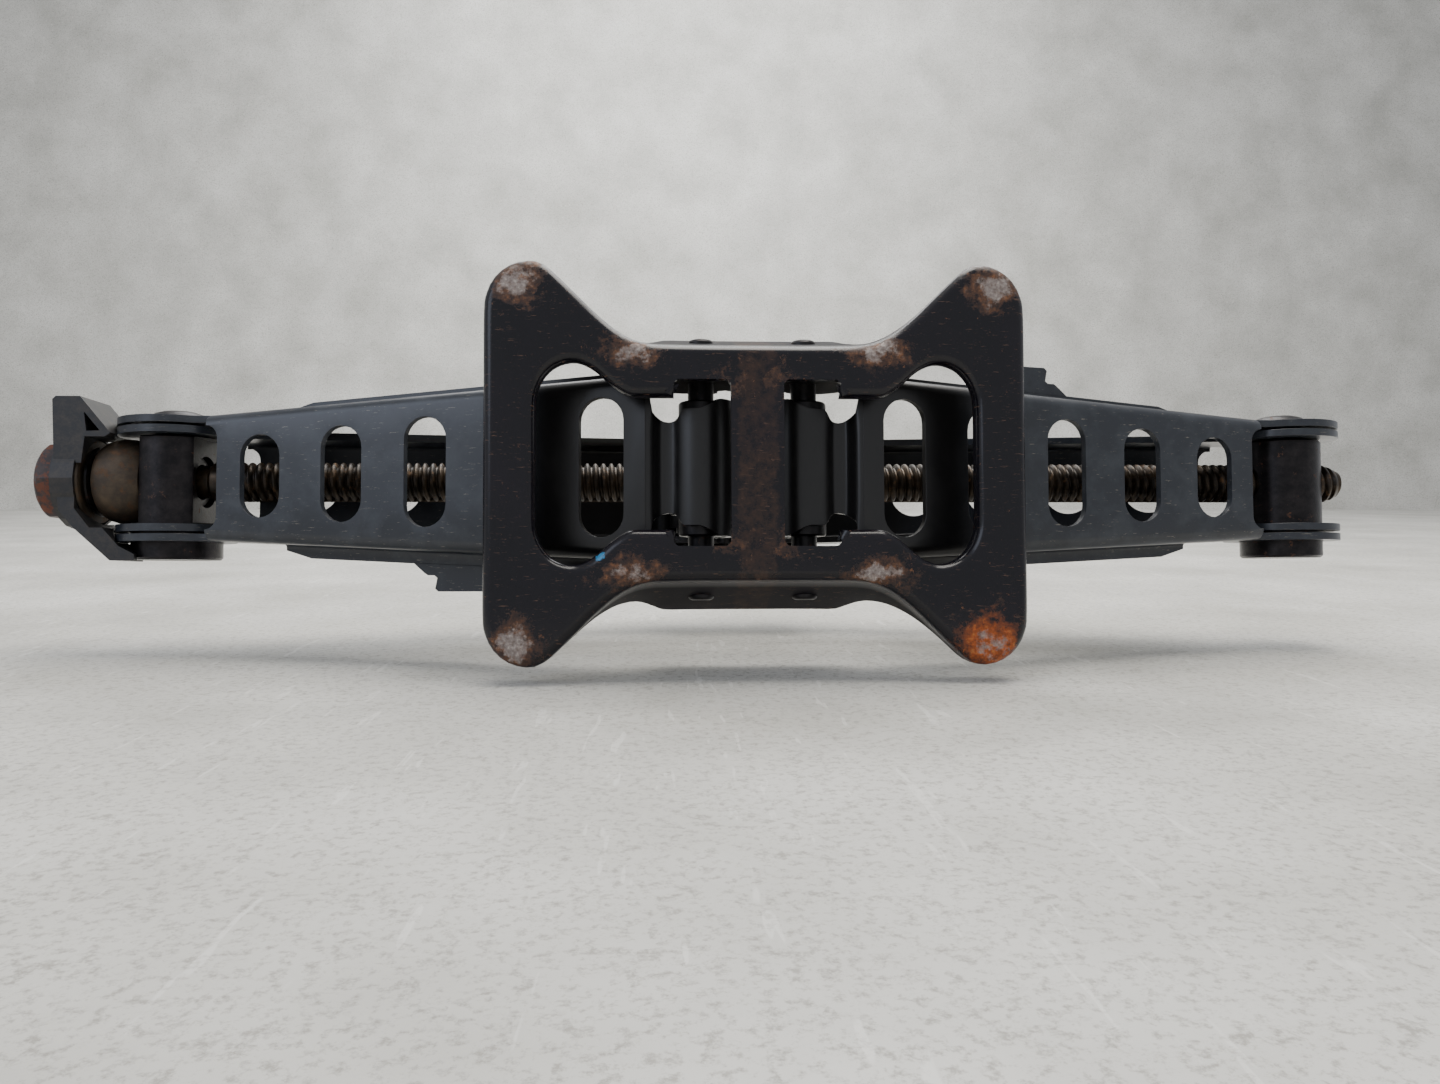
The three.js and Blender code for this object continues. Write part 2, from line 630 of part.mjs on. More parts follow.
jack.add(meshOf('lead_screw', leadScrew(), oiledSteel));
jack.add(meshOf('drive_hex', driveHex(), rustySteel));
jack.add(meshOf('cupped_washer', cuppedWasher(), sootySteel));
jack.add(meshOf('plain_washer', plainWasher(), darkSteel));
jack.add(meshOf('thrust_bush', thrustBush(), sootySteel));
jack.add(meshOf('retaining_collar', retainingCollar(), darkSteel));
jack.add(meshOf('end_bracket', endBracket(), blackPlastic));

export default jack;
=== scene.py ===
import math

import bmesh
import bpy
from mathutils import Matrix, Vector


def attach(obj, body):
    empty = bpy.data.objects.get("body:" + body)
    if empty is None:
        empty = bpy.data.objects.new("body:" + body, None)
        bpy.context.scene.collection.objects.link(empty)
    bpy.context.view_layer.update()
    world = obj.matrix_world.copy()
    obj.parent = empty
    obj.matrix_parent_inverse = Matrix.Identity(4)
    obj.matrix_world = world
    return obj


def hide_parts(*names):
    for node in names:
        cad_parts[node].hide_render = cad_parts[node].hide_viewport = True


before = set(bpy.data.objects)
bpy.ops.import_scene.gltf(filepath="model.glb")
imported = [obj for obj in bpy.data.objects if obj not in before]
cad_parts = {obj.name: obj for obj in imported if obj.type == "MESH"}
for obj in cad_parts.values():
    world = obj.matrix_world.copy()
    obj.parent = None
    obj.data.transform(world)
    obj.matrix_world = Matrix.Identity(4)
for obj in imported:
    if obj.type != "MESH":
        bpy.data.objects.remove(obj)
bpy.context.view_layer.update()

MM = 0.001

# ------------------------------------------------------------------ camera
# A short lens close to the underside of the base, level with the screw, with the jack
# lying on its side: its saddle points away from the camera.
camera_data = bpy.data.cameras.new("camera")
camera_data.lens = 27.075
camera_data.sensor_width = 36.0
camera_data.clip_start = 0.005
camera = bpy.data.objects.new("camera", camera_data)
bpy.context.scene.collection.objects.link(camera)
camera_right = Vector((0.99882, 0.00322, -0.04837))
camera_down = Vector((-0.00136, 0.99926, 0.03845))
camera_forward = camera_right.cross(camera_down)
camera.matrix_world = Matrix.Translation((-0.02175, 0.02908, -0.2584)) @ Matrix(
    (camera_right, -camera_down, -camera_forward)).transposed().to_4x4()
bpy.context.scene.camera = camera


# ------------------------------------------------------------------ bench, wall and light
# The jack lies on its side over a pale bench in front of a pale wall. The bench rises by 1 in 10
# towards the wall in the jack's own frame, and passes a few millimetres clear of the jack. Both
# are seen from one side only, so that they never hide the jack.
def linear(hex_colour):
    """An sRGB colour such as "8a5a3c" as linear red, green, blue and alpha."""
    parts = [int(hex_colour[i:i + 2], 16) / 255 for i in (0, 2, 4)]
    turned = [p / 12.92 if p <= 0.04045 else ((p + 0.055) / 1.055) ** 2.4 for p in parts]
    return (*turned, 1.0)


def new_material(name):
    """(material, its node tree, its Principled BSDF)"""
    material = bpy.data.materials.new(name)
    material.use_nodes = True
    return material, material.node_tree, material.node_tree.nodes["Principled BSDF"]


def add(tree, kind, stops=(), **inputs):
    """A shader node. Names are its settings or sockets; a value is a constant or a socket to link.
    The stops of a colour ramp are pairs of a position and a hex colour or grey level."""
    node = tree.nodes.new("ShaderNode" + kind)
    for name, value in inputs.items():
        if hasattr(node, name) and name not in node.inputs:
            setattr(node, name, value)
            continue
        key = int(name[1:]) if name[0] == "i" and name[1:].isdigit() else name.replace("_", " ")
        if isinstance(value, bpy.types.NodeSocket):
            tree.links.new(value, node.inputs[key])
        else:
            node.inputs[key].default_value = value
    while stops and len(node.color_ramp.elements) < len(stops):
        node.color_ramp.elements.new(0.5)
    for index, (position, value) in enumerate(stops):
        element = node.color_ramp.elements[index]
        element.position = position
        element.color = linear(value) if isinstance(value, str) else (value, value, value, 1.0)
    return node


BENCH_LEAN = 0.10
BENCH_DROP = 0.0535
BENCH_END = 1.35


def one_sided(tree, shader):
    """Shows a surface only from its front, so that no sheet of the set hides the jack."""
    behind = add(tree, "NewGeometry").outputs["Backfacing"]
    clear = add(tree, "BsdfTransparent").outputs[0]
    both = add(tree, "MixShader", i0=behind, i1=shader.outputs[0], i2=clear).outputs[0]
    tree.links.new(both, tree.nodes["Material Output"].inputs["Surface"])


def backdrop(name, corners, material):
    """A flat sheet of the set. It casts no shadow on the jack."""
    mesh = bpy.data.meshes.new(name)
    mesh.from_pydata(corners, [], [(0, 1, 2, 3)])
    mesh.materials.append(material)
    sheet = bpy.data.objects.new(name, mesh)
    bpy.context.scene.collection.objects.link(sheet)
    sheet.visible_shadow = False
    return sheet


# Worn off-white paint: broad grey stains, fine speckle and a few hairline scratches.
bench_paint, tree, shader = new_material("worn off-white bench paint")
spot = add(tree, "TexCoord").outputs["Object"]
stains = add(
    tree, "TexNoise", Vector=spot, Scale=1.0 / (70 * MM), Detail=5.0, Roughness=0.55).outputs["Fac"]
speckle = add(
    tree, "TexNoise", Vector=spot, Scale=1.0 / (1.6 * MM), Detail=6.0, Roughness=0.75).outputs["Fac"]
tone = add(tree, "ValToRGB", Fac=stains, stops=((0.3, "adaca6"), (0.7, "cdccc7"))).outputs["Color"]
tone = add(
    tree, "MixRGB",
    Fac=add(tree, "ValToRGB", Fac=speckle, stops=((0.36, 0.65), (0.5, 0.0))).outputs["Color"], Color1=tone,
    Color2=linear("77736b")).outputs["Color"]
grain = add(tree, "Mapping", Vector=spot, Rotation=(0, 0.25, 0), Scale=(9, 9, 0.5)).outputs[0]
lines = add(
    tree, "ValToRGB",
    Fac=add(
        tree, "TexNoise", Vector=grain, Scale=1.0 / (26.0 * MM), Detail=2.0, Roughness=0.6).outputs["Fac"],
    stops=((0.66, 0.0), (0.69, 0.3))).outputs["Color"]
tone = add(tree, "MixRGB", Fac=lines, Color1=tone, Color2=linear("e9e8e4")).outputs["Color"]
tree.links.new(tone, shader.inputs["Base Color"])
shader.inputs["Roughness"].default_value = 0.5
tree.links.new(
    add(tree, "Bump", Height=speckle, Strength=0.3, Distance=0.2 * MM).outputs["Normal"],
    shader.inputs["Normal"])
one_sided(tree, shader)


def bench_y(z):
    """Height of the bench's top, as the jack's Y, at a distance behind the base's face."""
    return BENCH_DROP - BENCH_LEAN * z


STAGE_HALF = 1.6
BENCH_START = -0.5
WALL_TOP = -1.7
backdrop("bench", [
    (-STAGE_HALF, bench_y(BENCH_START), BENCH_START), (STAGE_HALF, bench_y(BENCH_START), BENCH_START),
    (STAGE_HALF, bench_y(BENCH_END), BENCH_END), (-STAGE_HALF, bench_y(BENCH_END), BENCH_END)], bench_paint)
backdrop("wall", [
    (-STAGE_HALF, bench_y(BENCH_END), BENCH_END), (STAGE_HALF, bench_y(BENCH_END), BENCH_END),
    (STAGE_HALF, WALL_TOP, BENCH_END), (-STAGE_HALF, WALL_TOP, BENCH_END)], bench_paint)

# A pale floor for the views from above. It is seen, but takes no light from the base's face.
floor_paint, tree, shader = new_material("pale floor")
shader.inputs["Base Color"].default_value = linear("cfcdc8")
shader.inputs["Roughness"].default_value = 0.7
one_sided(tree, shader)
FLOOR_HALF = 1.5
FLOOR_Z = -0.0006
ground = backdrop("floor", [
    (-FLOOR_HALF, -FLOOR_HALF, FLOOR_Z), (FLOOR_HALF, -FLOOR_HALF, FLOOR_Z),
    (FLOOR_HALF, FLOOR_HALF, FLOOR_Z), (-FLOOR_HALF, FLOOR_HALF, FLOOR_Z)], floor_paint)
ground.visible_diffuse = False
ground.visible_glossy = False
ground.visible_transmission = False

world = bpy.data.worlds.new("room")
bpy.context.scene.world = world
world.use_nodes = True
world.node_tree.nodes["Background"].inputs["Color"].default_value = linear("e2e4e8")
world.node_tree.nodes["Background"].inputs["Strength"].default_value = 0.85


def lamp(name, place, target, size, power, colour):
    """A square soft lamp aimed at a point."""
    data = bpy.data.lights.new(name, "AREA")
    data.size = size
    data.energy = power
    data.color = linear(colour)[:3]
    holder = bpy.data.objects.new(name, data)
    holder.location = place
    holder.rotation_euler = (Vector(target) - Vector(place)).to_track_quat("-Z", "Y").to_euler()
    bpy.context.scene.collection.objects.link(holder)


lamp("ceiling_lamp", (0.1, -0.8, 0.05), (0, 0, 0.05), 0.6, 11.0, "fffaf2")
lamp("window_light", (-0.75, -0.45, -0.6), (0, 0, 0.05), 0.6, 3.0, "dfe9ff")
lamp("wall_lamp", (0.0, -0.9, 0.75), (0, 0.0, 1.2), 0.9, 14.0, "ffffff")
lamp("side_lamp", (0.9, 0.35, 0.6), (0, 0, 0.12), 0.6, 5.0, "ffffff")


# ------------------------------------------------------------------ base plate
# Pressed from 2.5 mm sheet: the face is a bow tie with two windows whose edges are curled in,
# and the walls flare out and rise to carry the pins. Black enamel, worn through to bare and
# rusty steel where the jack stands: on the four corners and the shoulders of the waist.
SHEET = 2.5
BASE_QUARTER = [
    (63.3, 0), (63.3, 20), (63.3, 36), (62.8, 40.2), (61.2, 43.4), (58.5, 45.6), (55.2, 46.5), (52.6, 45.8),
    (49.0, 42.6), (45.2, 38.9), (40.5, 34.3), (35.8, 30.4), (31.1, 27.7), (26.3, 26.4), (21, 26.1),
    (10, 26.0),
]
BASE_WALL_TAN = 0.27
BASE_BEND = 2.5
WALL_HIGH, WALL_LOW = 29.5, 8.6
WALL_SLOPE_FROM, WALL_SLOPE_LENGTH = 21.5, 27.5
WINDOW = [
    (6.4, 0), (6.4, 19), (7.4, 20.1), (19.2, 20.1), (20.2, 19.2), (20.2, 16.1), (25, 16.1), (29.7, 16.1),
    (31.8, 16.7), (34.9, 18.7), (38.6, 22.0), (41.0, 23.6), (43.6, 24.5), (46.4, 24.3), (49.4, 22.9),
    (51.8, 20.3), (53.2, 17.0), (53.6, 13.0), (53.6, 0),
]
WINDOW_CURLED_FROM = 5
CURL_BEND, CURL_DEPTH = 2.3, 4.6


def link(name, mesh_data, material, body, *stands_for):
    """Puts a finished bmesh into the scene as a piece that rides a body and replaces CAD nodes."""
    mesh = bpy.data.meshes.new(name)
    mesh_data.to_mesh(mesh)
    mesh_data.free()
    mesh.materials.append(material)
    piece = bpy.data.objects.new(name, mesh)
    bpy.context.scene.collection.objects.link(piece)
    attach(piece, body)
    if stands_for:
        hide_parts(*stands_for)
    return piece


def smooth_by_angle(mesh_data, degrees=32):
    """Smooth faces with sharp edges where the surface turns by more than an angle."""
    for face in mesh_data.faces:
        face.smooth = True
    for edge in mesh_data.edges:
        edge.smooth = edge.calc_face_angle(math.pi) < math.radians(degrees)


def rounded_path(points, spacing):
    """Points about spacing apart on a smooth open curve through the given ones."""
    padded = [points[0], *points, points[-1]]
    path = []
    for a, b, c, d in zip(padded, padded[1:], padded[2:], padded[3:]):
        steps = max(1, round(math.dist(b, c) / spacing))
        for step in range(steps):
            t = step / steps
            path.append(tuple(
                0.5 * (2 * q + (r - p) * t + (2 * p - 5 * q + 4 * r - s) * t * t
                       + (3 * q - p - 3 * r + s) * t ** 3)
                for p, q, r, s in zip(a, b, c, d)))
    return path + [points[-1]]


def all_round(quarter):
    """A closed outline from its quarter, which runs from (x, 0) to (0 or more, y)."""
    top = quarter + [(-x, y) for x, y in reversed(quarter)]
    return top + [(x, -y) for x, y in reversed(top)][1:-1] if quarter[0][1] == 0 else top


def outward_normals(outline):
    """Unit normals of a counter-clockwise closed outline, in its own plane."""
    normals = []
    for before, after in zip(outline[-1:] + outline[:-1], outline[1:] + outline[:1]):
        dx, dy = after[0] - before[0], after[1] - before[1]
        length = math.hypot(dx, dy)
        normals.append((dy / length, -dx / length))
    return normals


def ring_of(mesh_data, points):
    """Vertices and closing edges through points given in millimetres."""
    verts = [mesh_data.verts.new([c * MM for c in point]) for point in points]
    edges = [mesh_data.edges.new((a, b)) for a, b in zip(verts, verts[1:] + verts[:1])]
    return verts, edges


def wall_between(mesh_data, low, high):
    """Quads between two rings of the same length."""
    for a, b, c, d in zip(low, low[1:] + low[:1], high[1:] + high[:1], high):
        mesh_data.faces.new((a, b, c, d))


def base_wall_height(x):
    """Height of the wall's free edge at a distance along the base: high at the pins, low at the ends."""
    share = min(max((abs(x) - WALL_SLOPE_FROM) / WALL_SLOPE_LENGTH, 0.0), 1.0)
    return WALL_HIGH - (WALL_HIGH - WALL_LOW) * share * share * (3 - 2 * share)


mesh_data = bmesh.new()
quarter = rounded_path(BASE_QUARTER, 1.6)
outline = all_round(quarter)
normals = outward_normals(outline)
wall_angle = math.pi / 2 - math.atan(BASE_WALL_TAN)
rings = [[(x, y, 0.0) for x, y in outline]]
for step in range(1, 6):
    angle = wall_angle * step / 5
    grow, rise = BASE_BEND * math.sin(angle), BASE_BEND * (1 - math.cos(angle))
    rings.append([(x + nx * grow, y + ny * grow, rise) for (x, y), (nx, ny) in zip(outline, normals)])
bend_top = BASE_BEND * (1 - math.cos(wall_angle))
bend_grow = BASE_BEND * math.sin(wall_angle)
for step in range(1, 5):
    ring = []
    for (x, y), (nx, ny) in zip(outline, normals):
        height = base_wall_height(x)
        rise = (height - bend_top) * step / 4
        grow = bend_grow + rise * BASE_WALL_TAN * (height - WALL_LOW) / (WALL_HIGH - WALL_LOW)
        ring.append((x + nx * grow, y + ny * grow, bend_top + rise))
    rings.append(ring)
built = [ring_of(mesh_data, ring) for ring in rings]
for (low, _), (high, _) in zip(built, built[1:]):
    wall_between(mesh_data, low, high)
face_edges = list(built[0][1])
for side in (1, -1):
    path = rounded_path(WINDOW[WINDOW_CURLED_FROM:], 1.2)
    half = WINDOW[:WINDOW_CURLED_FROM] + path
    closed = half + [(x, -y) for x, y in reversed(half[1:-1])]
    closed = closed[::-1]
    grown = outward_normals(closed)
    curls = [float(x > WINDOW[WINDOW_CURLED_FROM][0] - 0.01 and abs(y) < 25 and (x > 20.3 or abs(y) < 16.2))
             for x, y in closed]
    window_rings = []
    for step in range(5):
        angle = math.pi / 2 * step / 4
        grow, rise = CURL_BEND * (1 - math.sin(angle)), CURL_BEND * (1 - math.cos(angle))
        window_rings.append([
            ((x + nx * grow * w) * side, y + ny * grow * w, rise * w)
            for (x, y), (nx, ny), w in zip(closed, grown, curls)])
    window_rings.append([(x * side, y, CURL_DEPTH * w) for (x, y), w in zip(closed, curls)])
    made = [ring_of(mesh_data, ring) for ring in window_rings]
    for (low, _), (high, _) in zip(made, made[1:]):
        wall_between(mesh_data, low, high)
    face_edges += made[0][1]
bmesh.ops.triangle_fill(mesh_data, edges=face_edges, use_beauty=True, use_dissolve=False, normal=(0, 0, -1))
bmesh.ops.remove_doubles(mesh_data, verts=mesh_data.verts, dist=1e-6)
bmesh.ops.recalc_face_normals(mesh_data, faces=mesh_data.faces)
smooth_by_angle(mesh_data, 40)

black_enamel, tree, shader = new_material("black enamel worn to rusty steel")
spot = add(tree, "TexCoord").outputs["Object"]
axes = add(tree, "SeparateXYZ", Vector=spot).outputs
folded_x = add(tree, "Math", operation="ABSOLUTE", i0=axes["X"]).outputs[0]
folded = add(
    tree, "CombineXYZ", X=folded_x, Y=add(tree, "Math", operation="ABSOLUTE", i0=axes["Y"]).outputs[0],
    Z=add(tree, "Math", operation="MULTIPLY", i0=axes["Z"], i1=2.5).outputs[0]).outputs[0]


def near(tree, where, x, y, radius):
    """1 at a point given in millimetres, falling to 0 at a radius."""
    gone = add(tree, "VectorMath", operation="DISTANCE", i0=where, i1=(x * MM, y * MM, 0)).outputs["Value"]
    return add(tree, "MapRange", Value=gone, From_Max=radius * MM, To_Min=1.0, To_Max=0.0).outputs[0]


stretched = add(tree, "VectorMath", operation="MULTIPLY", i0=folded, i1=(0.5, 1.0, 1.0)).outputs["Vector"]
corner_wear = near(tree, folded, 58, 44, 11)
shoulder_wear = add(
    tree, "Math", operation="MULTIPLY", i0=near(tree, stretched, 15, 27, 7), i1=0.95).outputs[0]
raw_corner = near(tree, spot, 56, 44, 13)
edge_wear = add(tree, "Math", operation="MULTIPLY", i0=near(tree, folded, 6.5, 20, 9), i1=0.5).outputs[0]
handled = add(
    tree, "Math", operation="MAXIMUM",
    i0=add(tree, "Math", operation="MAXIMUM", i0=corner_wear, i1=shoulder_wear).outputs[0],
    i1=add(tree, "Math", operation="MAXIMUM", i0=edge_wear, i1=raw_corner).outputs[0]).outputs[0]
blotches = add(
    tree, "TexNoise", Vector=spot, Scale=1.0 / (5.0 * MM), Detail=9.0, Roughness=0.72).outputs["Fac"]
worn = add(
    tree, "Math", operation="ADD",
    i0=add(tree, "Math", operation="MULTIPLY", i0=handled, i1=0.5).outputs[0], i1=blotches).outputs[0]
stained = add(tree, "ValToRGB", Fac=worn, stops=((0.66, 0.0), (0.8, 0.75), (0.9, 1.0))).outputs["Color"]
bare = add(
    tree, "ValToRGB",
    Fac=add(
        tree, "Math", operation="SUBTRACT", i0=worn,
        i1=add(tree, "Math", operation="MULTIPLY", i0=raw_corner, i1=0.1).outputs[0]).outputs[0],
    stops=((0.82, 0.0), (0.92, 0.85))).outputs["Color"]
fleck_noise = add(
    tree, "TexNoise", Vector=spot, Scale=1.0 / (2.4 * MM), Detail=8.0, Roughness=0.8).outputs["Fac"]
flecks = add(
    tree, "ValToRGB",
    Fac=add(
        tree, "Math", operation="ADD", i0=fleck_noise,
        i1=add(tree, "Math", operation="MULTIPLY", i0=handled, i1=0.12).outputs[0]).outputs[0],
    stops=((0.62, 0.0), (0.66, 0.75))).outputs["Color"]
rust = add(
    tree, "ValToRGB",
    Fac=add(
        tree, "TexNoise", Vector=spot, Scale=1.0 / (1.8 * MM), Detail=6.0, Roughness=0.7).outputs["Fac"],
    stops=((0.34, "2c1f1a"), (0.48, "543a2b"), (0.6, "7d5336"), (0.74, "a87245"))).outputs["Color"]
fresh = add(
    tree, "ValToRGB",
    Fac=add(
        tree, "TexNoise", Vector=spot, Scale=1.0 / (1.5 * MM), Detail=6.0, Roughness=0.7).outputs["Fac"],
    stops=((0.36, "6b3414"), (0.55, "b8591c"), (0.7, "d88a45"))).outputs["Color"]
rust = add(
    tree, "MixRGB",
    Fac=add(tree, "ValToRGB", Fac=raw_corner, stops=((0.15, 0.0), (0.6, 0.9))).outputs["Color"],
    Color1=rust, Color2=fresh).outputs["Color"]
metal = add(
    tree, "ValToRGB",
    Fac=add(
        tree, "TexNoise", Vector=spot, Scale=1.0 / (1.2 * MM), Detail=6.0, Roughness=0.7).outputs["Fac"],
    stops=((0.35, "6f6460"), (0.55, "9a918c"), (0.7, "c4beb8"))).outputs["Color"]
streaks = add(tree, "Mapping", Vector=spot, Rotation=(0, 0, 0.8), Scale=(1, 9, 1)).outputs[0]
scratches = add(
    tree, "ValToRGB",
    Fac=add(
        tree, "TexNoise", Vector=streaks, Scale=1.0 / (5.0 * MM), Detail=3.0, Roughness=0.8).outputs["Fac"],
    stops=((0.635, 0.0), (0.69, 0.55))).outputs["Color"]
crossed = add(tree, "Mapping", Vector=spot, Rotation=(0, 0, -0.9), Scale=(1, 9, 1)).outputs[0]
cross_scratches = add(
    tree, "ValToRGB",
    Fac=add(
        tree, "TexNoise", Vector=crossed, Scale=1.0 / (6.0 * MM), Detail=3.0, Roughness=0.8).outputs["Fac"],
    stops=((0.64, 0.0), (0.7, 0.55))).outputs["Color"]
scratches = add(tree, "Math", operation="MAXIMUM", i0=scratches, i1=cross_scratches).outputs[0]
strip_tint = add(
    tree, "MapRange", Value=folded_x, From_Min=0.004, From_Max=0.009, To_Min=1.0, To_Max=0.0).outputs[0]
tint = add(
    tree, "Math", operation="MULTIPLY", i0=strip_tint,
    i1=add(
        tree, "TexNoise", Vector=spot, Scale=1.0 / (3.5 * MM), Detail=7.0,
        Roughness=0.75).outputs["Fac"]).outputs[0]
enamel = add(
    tree, "MixRGB", Fac=add(tree, "ValToRGB", Fac=tint, stops=((0.38, 0.0), (0.62, 0.8))).outputs["Color"],
    Color1=linear("0c0b12"), Color2=linear("3d2b21")).outputs["Color"]
clouds = add(
    tree, "ValToRGB",
    Fac=add(
        tree, "TexNoise", Vector=spot, Scale=1.0 / (26.0 * MM), Detail=3.0, Roughness=0.55).outputs["Fac"],
    stops=((0.48, 0.0), (0.72, 0.5))).outputs["Color"]
enamel = add(tree, "MixRGB", Fac=clouds, Color1=enamel, Color2=linear("17111a")).outputs["Color"]
enamel = add(tree, "MixRGB", Fac=scratches, Color1=enamel, Color2=linear("6a5040")).outputs["Color"]
enamel = add(
    tree, "MixRGB", Fac=add(tree, "Math", operation="MULTIPLY", i0=stained, i1=0.75).outputs[0],
    Color1=enamel, Color2=rust).outputs["Color"]
enamel = add(tree, "MixRGB", Fac=flecks, Color1=enamel, Color2=rust).outputs["Color"]
enamel = add(tree, "MixRGB", Fac=bare, Color1=enamel, Color2=metal).outputs["Color"]
blue_mark = add(
    tree, "Math", operation="MULTIPLY", i0=near(tree, spot, -38, 22.4, 3.2),
    i1=add(
        tree, "TexNoise", Vector=spot, Scale=1.0 / (1.0 * MM), Detail=4.0,
        Roughness=0.7).outputs["Fac"]).outputs[0]
enamel = add(
    tree, "MixRGB",
    Fac=add(tree, "ValToRGB", Fac=blue_mark, stops=((0.28, 0.0), (0.36, 0.85))).outputs["Color"],
    Color1=enamel, Color2=linear("2c7aa6")).outputs["Color"]
tree.links.new(enamel, shader.inputs["Base Color"])
grimy = add(tree, "MapRange", Value=axes["Z"], From_Min=0.002, From_Max=0.008).outputs[0]
rough = add(
    tree, "Math", operation="MAXIMUM",
    i0=add(tree, "Math", operation="MAXIMUM", i0=stained, i1=flecks).outputs[0],
    i1=add(tree, "Math", operation="MULTIPLY", i0=grimy, i1=0.5).outputs[0]).outputs[0]
tree.links.new(
    add(
        tree, "MixRGB", Fac=rough, Color1=(0.22, 0.22, 0.22, 1),
        Color2=(0.7, 0.7, 0.7, 1)).outputs["Color"], shader.inputs["Roughness"])
tree.links.new(
    add(tree, "MapRange", Value=grimy, To_Min=0.35, To_Max=0.03).outputs[0],
    shader.inputs["Specular IOR Level"])
tree.links.new(
    add(tree, "Math", operation="MULTIPLY", i0=bare, i1=0.6).outputs[0], shader.inputs["Metallic"])
relief = add(
    tree, "Math", operation="SUBTRACT",
    i0=add(
        tree, "Math", operation="MULTIPLY",
        i0=add(
            tree, "TexNoise", Vector=spot, Scale=1.0 / (5.0 * MM), Detail=3.0,
            Roughness=0.55).outputs["Fac"], i1=0.6).outputs[0], i1=stained).outputs[0]
tree.links.new(
    add(tree, "Bump", Height=relief, Strength=0.4, Distance=0.12 * MM).outputs["Normal"],
    shader.inputs["Normal"])
base_plate = link("base_plate_pressing", mesh_data, black_enamel, "base", "base_plate")
base_plate_wall = base_plate.modifiers.new("sheet", "SOLIDIFY")
base_plate_wall.thickness = SHEET * MM
base_plate_wall.offset = -1


# ------------------------------------------------------------------ arms
# Four channels pressed from 2.5 mm sheet. The wide lower arms have oblong slots and a lip
# turned out along their free edges; the narrow upper arms fold into them and have round
# holes. Geared ears at one end keep left and right in step, and the web is rolled round a pin.
PIVOT_X = 13.2
PIVOT_Z = 17.5
TRUNNION_X = 159.7
SCREW_Z = 53.9
SADDLE_Z = 2 * SCREW_Z - PIVOT_Z
ARM_LENGTH = math.hypot(TRUNNION_X - PIVOT_X, SCREW_Z - PIVOT_Z)
ARM_ANGLE = math.atan2(SCREW_Z - PIVOT_Z, TRUNNION_X - PIVOT_X)
ARM_SHEET = 2.0
WEB_DROP = 11.5
FLANGE_RISE = 5.0
ARM_BEND = 3.0
EAR_RADIUS = 15.5
WEB_FROM = 11.6
LIP_BEND = 1.0
LIP_END_WIDTH = 1.6
TONGUE_NOTCH = 11.4
RELIEF_ALONG, RELIEF_ACROSS, RELIEF_RADIUS = 6.8, 14.9, 3.5
LIP_FROM, LIP_TO = 20.0, 123.5
TRUNNION_RADIUS = {-1: 11.8, 1: 11.0}
LOWER = {"gear_half": 24.0, "ear_half": 17.1, "ear_flat": 17.2, "lip": 3.5, "web_to": 130.7, "fillet": 3.5,
         "roll_half": 17.2, "big_ear": 1}
UPPER = {"gear_half": 16.5, "ear_half": 14.4, "ear_flat": 25.0, "lip": 0.0, "web_to": 130.7, "fillet": 3.5,
         "roll_half": 13.4, "big_ear": -1}


def arm_half(kind, along):
    """Half width over the flanges at a distance from the geared pivot."""
    share = min(max(along, 0) / (ARM_LENGTH - kind["ear_flat"]), 1)
    return kind["gear_half"] + (kind["ear_half"] - kind["gear_half"]) * share


def soften(piece, width):
    """Rounds a sheet's cut edges."""
    edge = piece.modifiers.new("broken edges", "BEVEL")
    edge.width = width * MM
    edge.segments = 2
    edge.limit_method = "ANGLE"
    edge.angle_limit = math.radians(50)


def circle(cx, cy, radius, start, stop, steps):
    """Points on an arc, angles in degrees."""
    angles = [math.radians(start + (stop - start) * i / steps) for i in range(steps + 1)]
    return [(cx + radius * math.cos(a), cy + radius * math.sin(a)) for a in angles]


def tooth_points(centre, pitch_radius=13.2, tip=14.6, root=11.4, play=0.35, count=12):
    """A gear tooth's outline in order of falling angle, about the pivot."""
    pressure = math.radians(20)
    base = pitch_radius * math.cos(pressure)
    half_pitch = math.pi / (2 * count) - play / (2 * pitch_radius)

    def half(radius):
        wide = math.acos(min(base / radius, 1))
        return half_pitch + (math.tan(pressure) - pressure) - (math.tan(wide) - wide)

    flank = [(root, half(base)), (base, half(base)), (pitch_radius, half(pitch_radius)),
             (tip - 0.5, half(tip - 0.5)), (tip, half(tip) - 0.03)]
    middle = math.radians(centre)
    up = [(r * math.cos(middle + h), r * math.sin(middle + h)) for r, h in flank]
    return up + [(r * math.cos(middle - h), r * math.sin(middle - h)) for r, h in reversed(flank)]


def filled(mesh_data, outlines, place, normal):
    """A flat face with holes. Outlines are closed; place turns each point into a position in mm."""
    edges = []
    for outline in outlines:
        edges += ring_of(mesh_data, [place(*point) for point in outline])[1]
    made = bmesh.ops.triangle_fill(mesh_data, edges=edges, use_beauty=True, use_dissolve=False, normal=normal)
    faces = [g for g in made["geom"] if isinstance(g, bmesh.types.BMFace)]
    for face in faces:
        face.normal_update()
        if face.normal.dot(Vector(normal)) < 0:
            face.normal_flip()


def strip(mesh_data, rows, flip):
    """Quads between rows of points in mm."""
    verts = [[mesh_data.verts.new([c * MM for c in point]) for point in row] for row in rows]
    for low, high in zip(verts, verts[1:]):
        for a, b, c, d in zip(low, low[1:], high[1:], high):
            mesh_data.faces.new((a, d, c, b) if flip else (a, b, c, d))


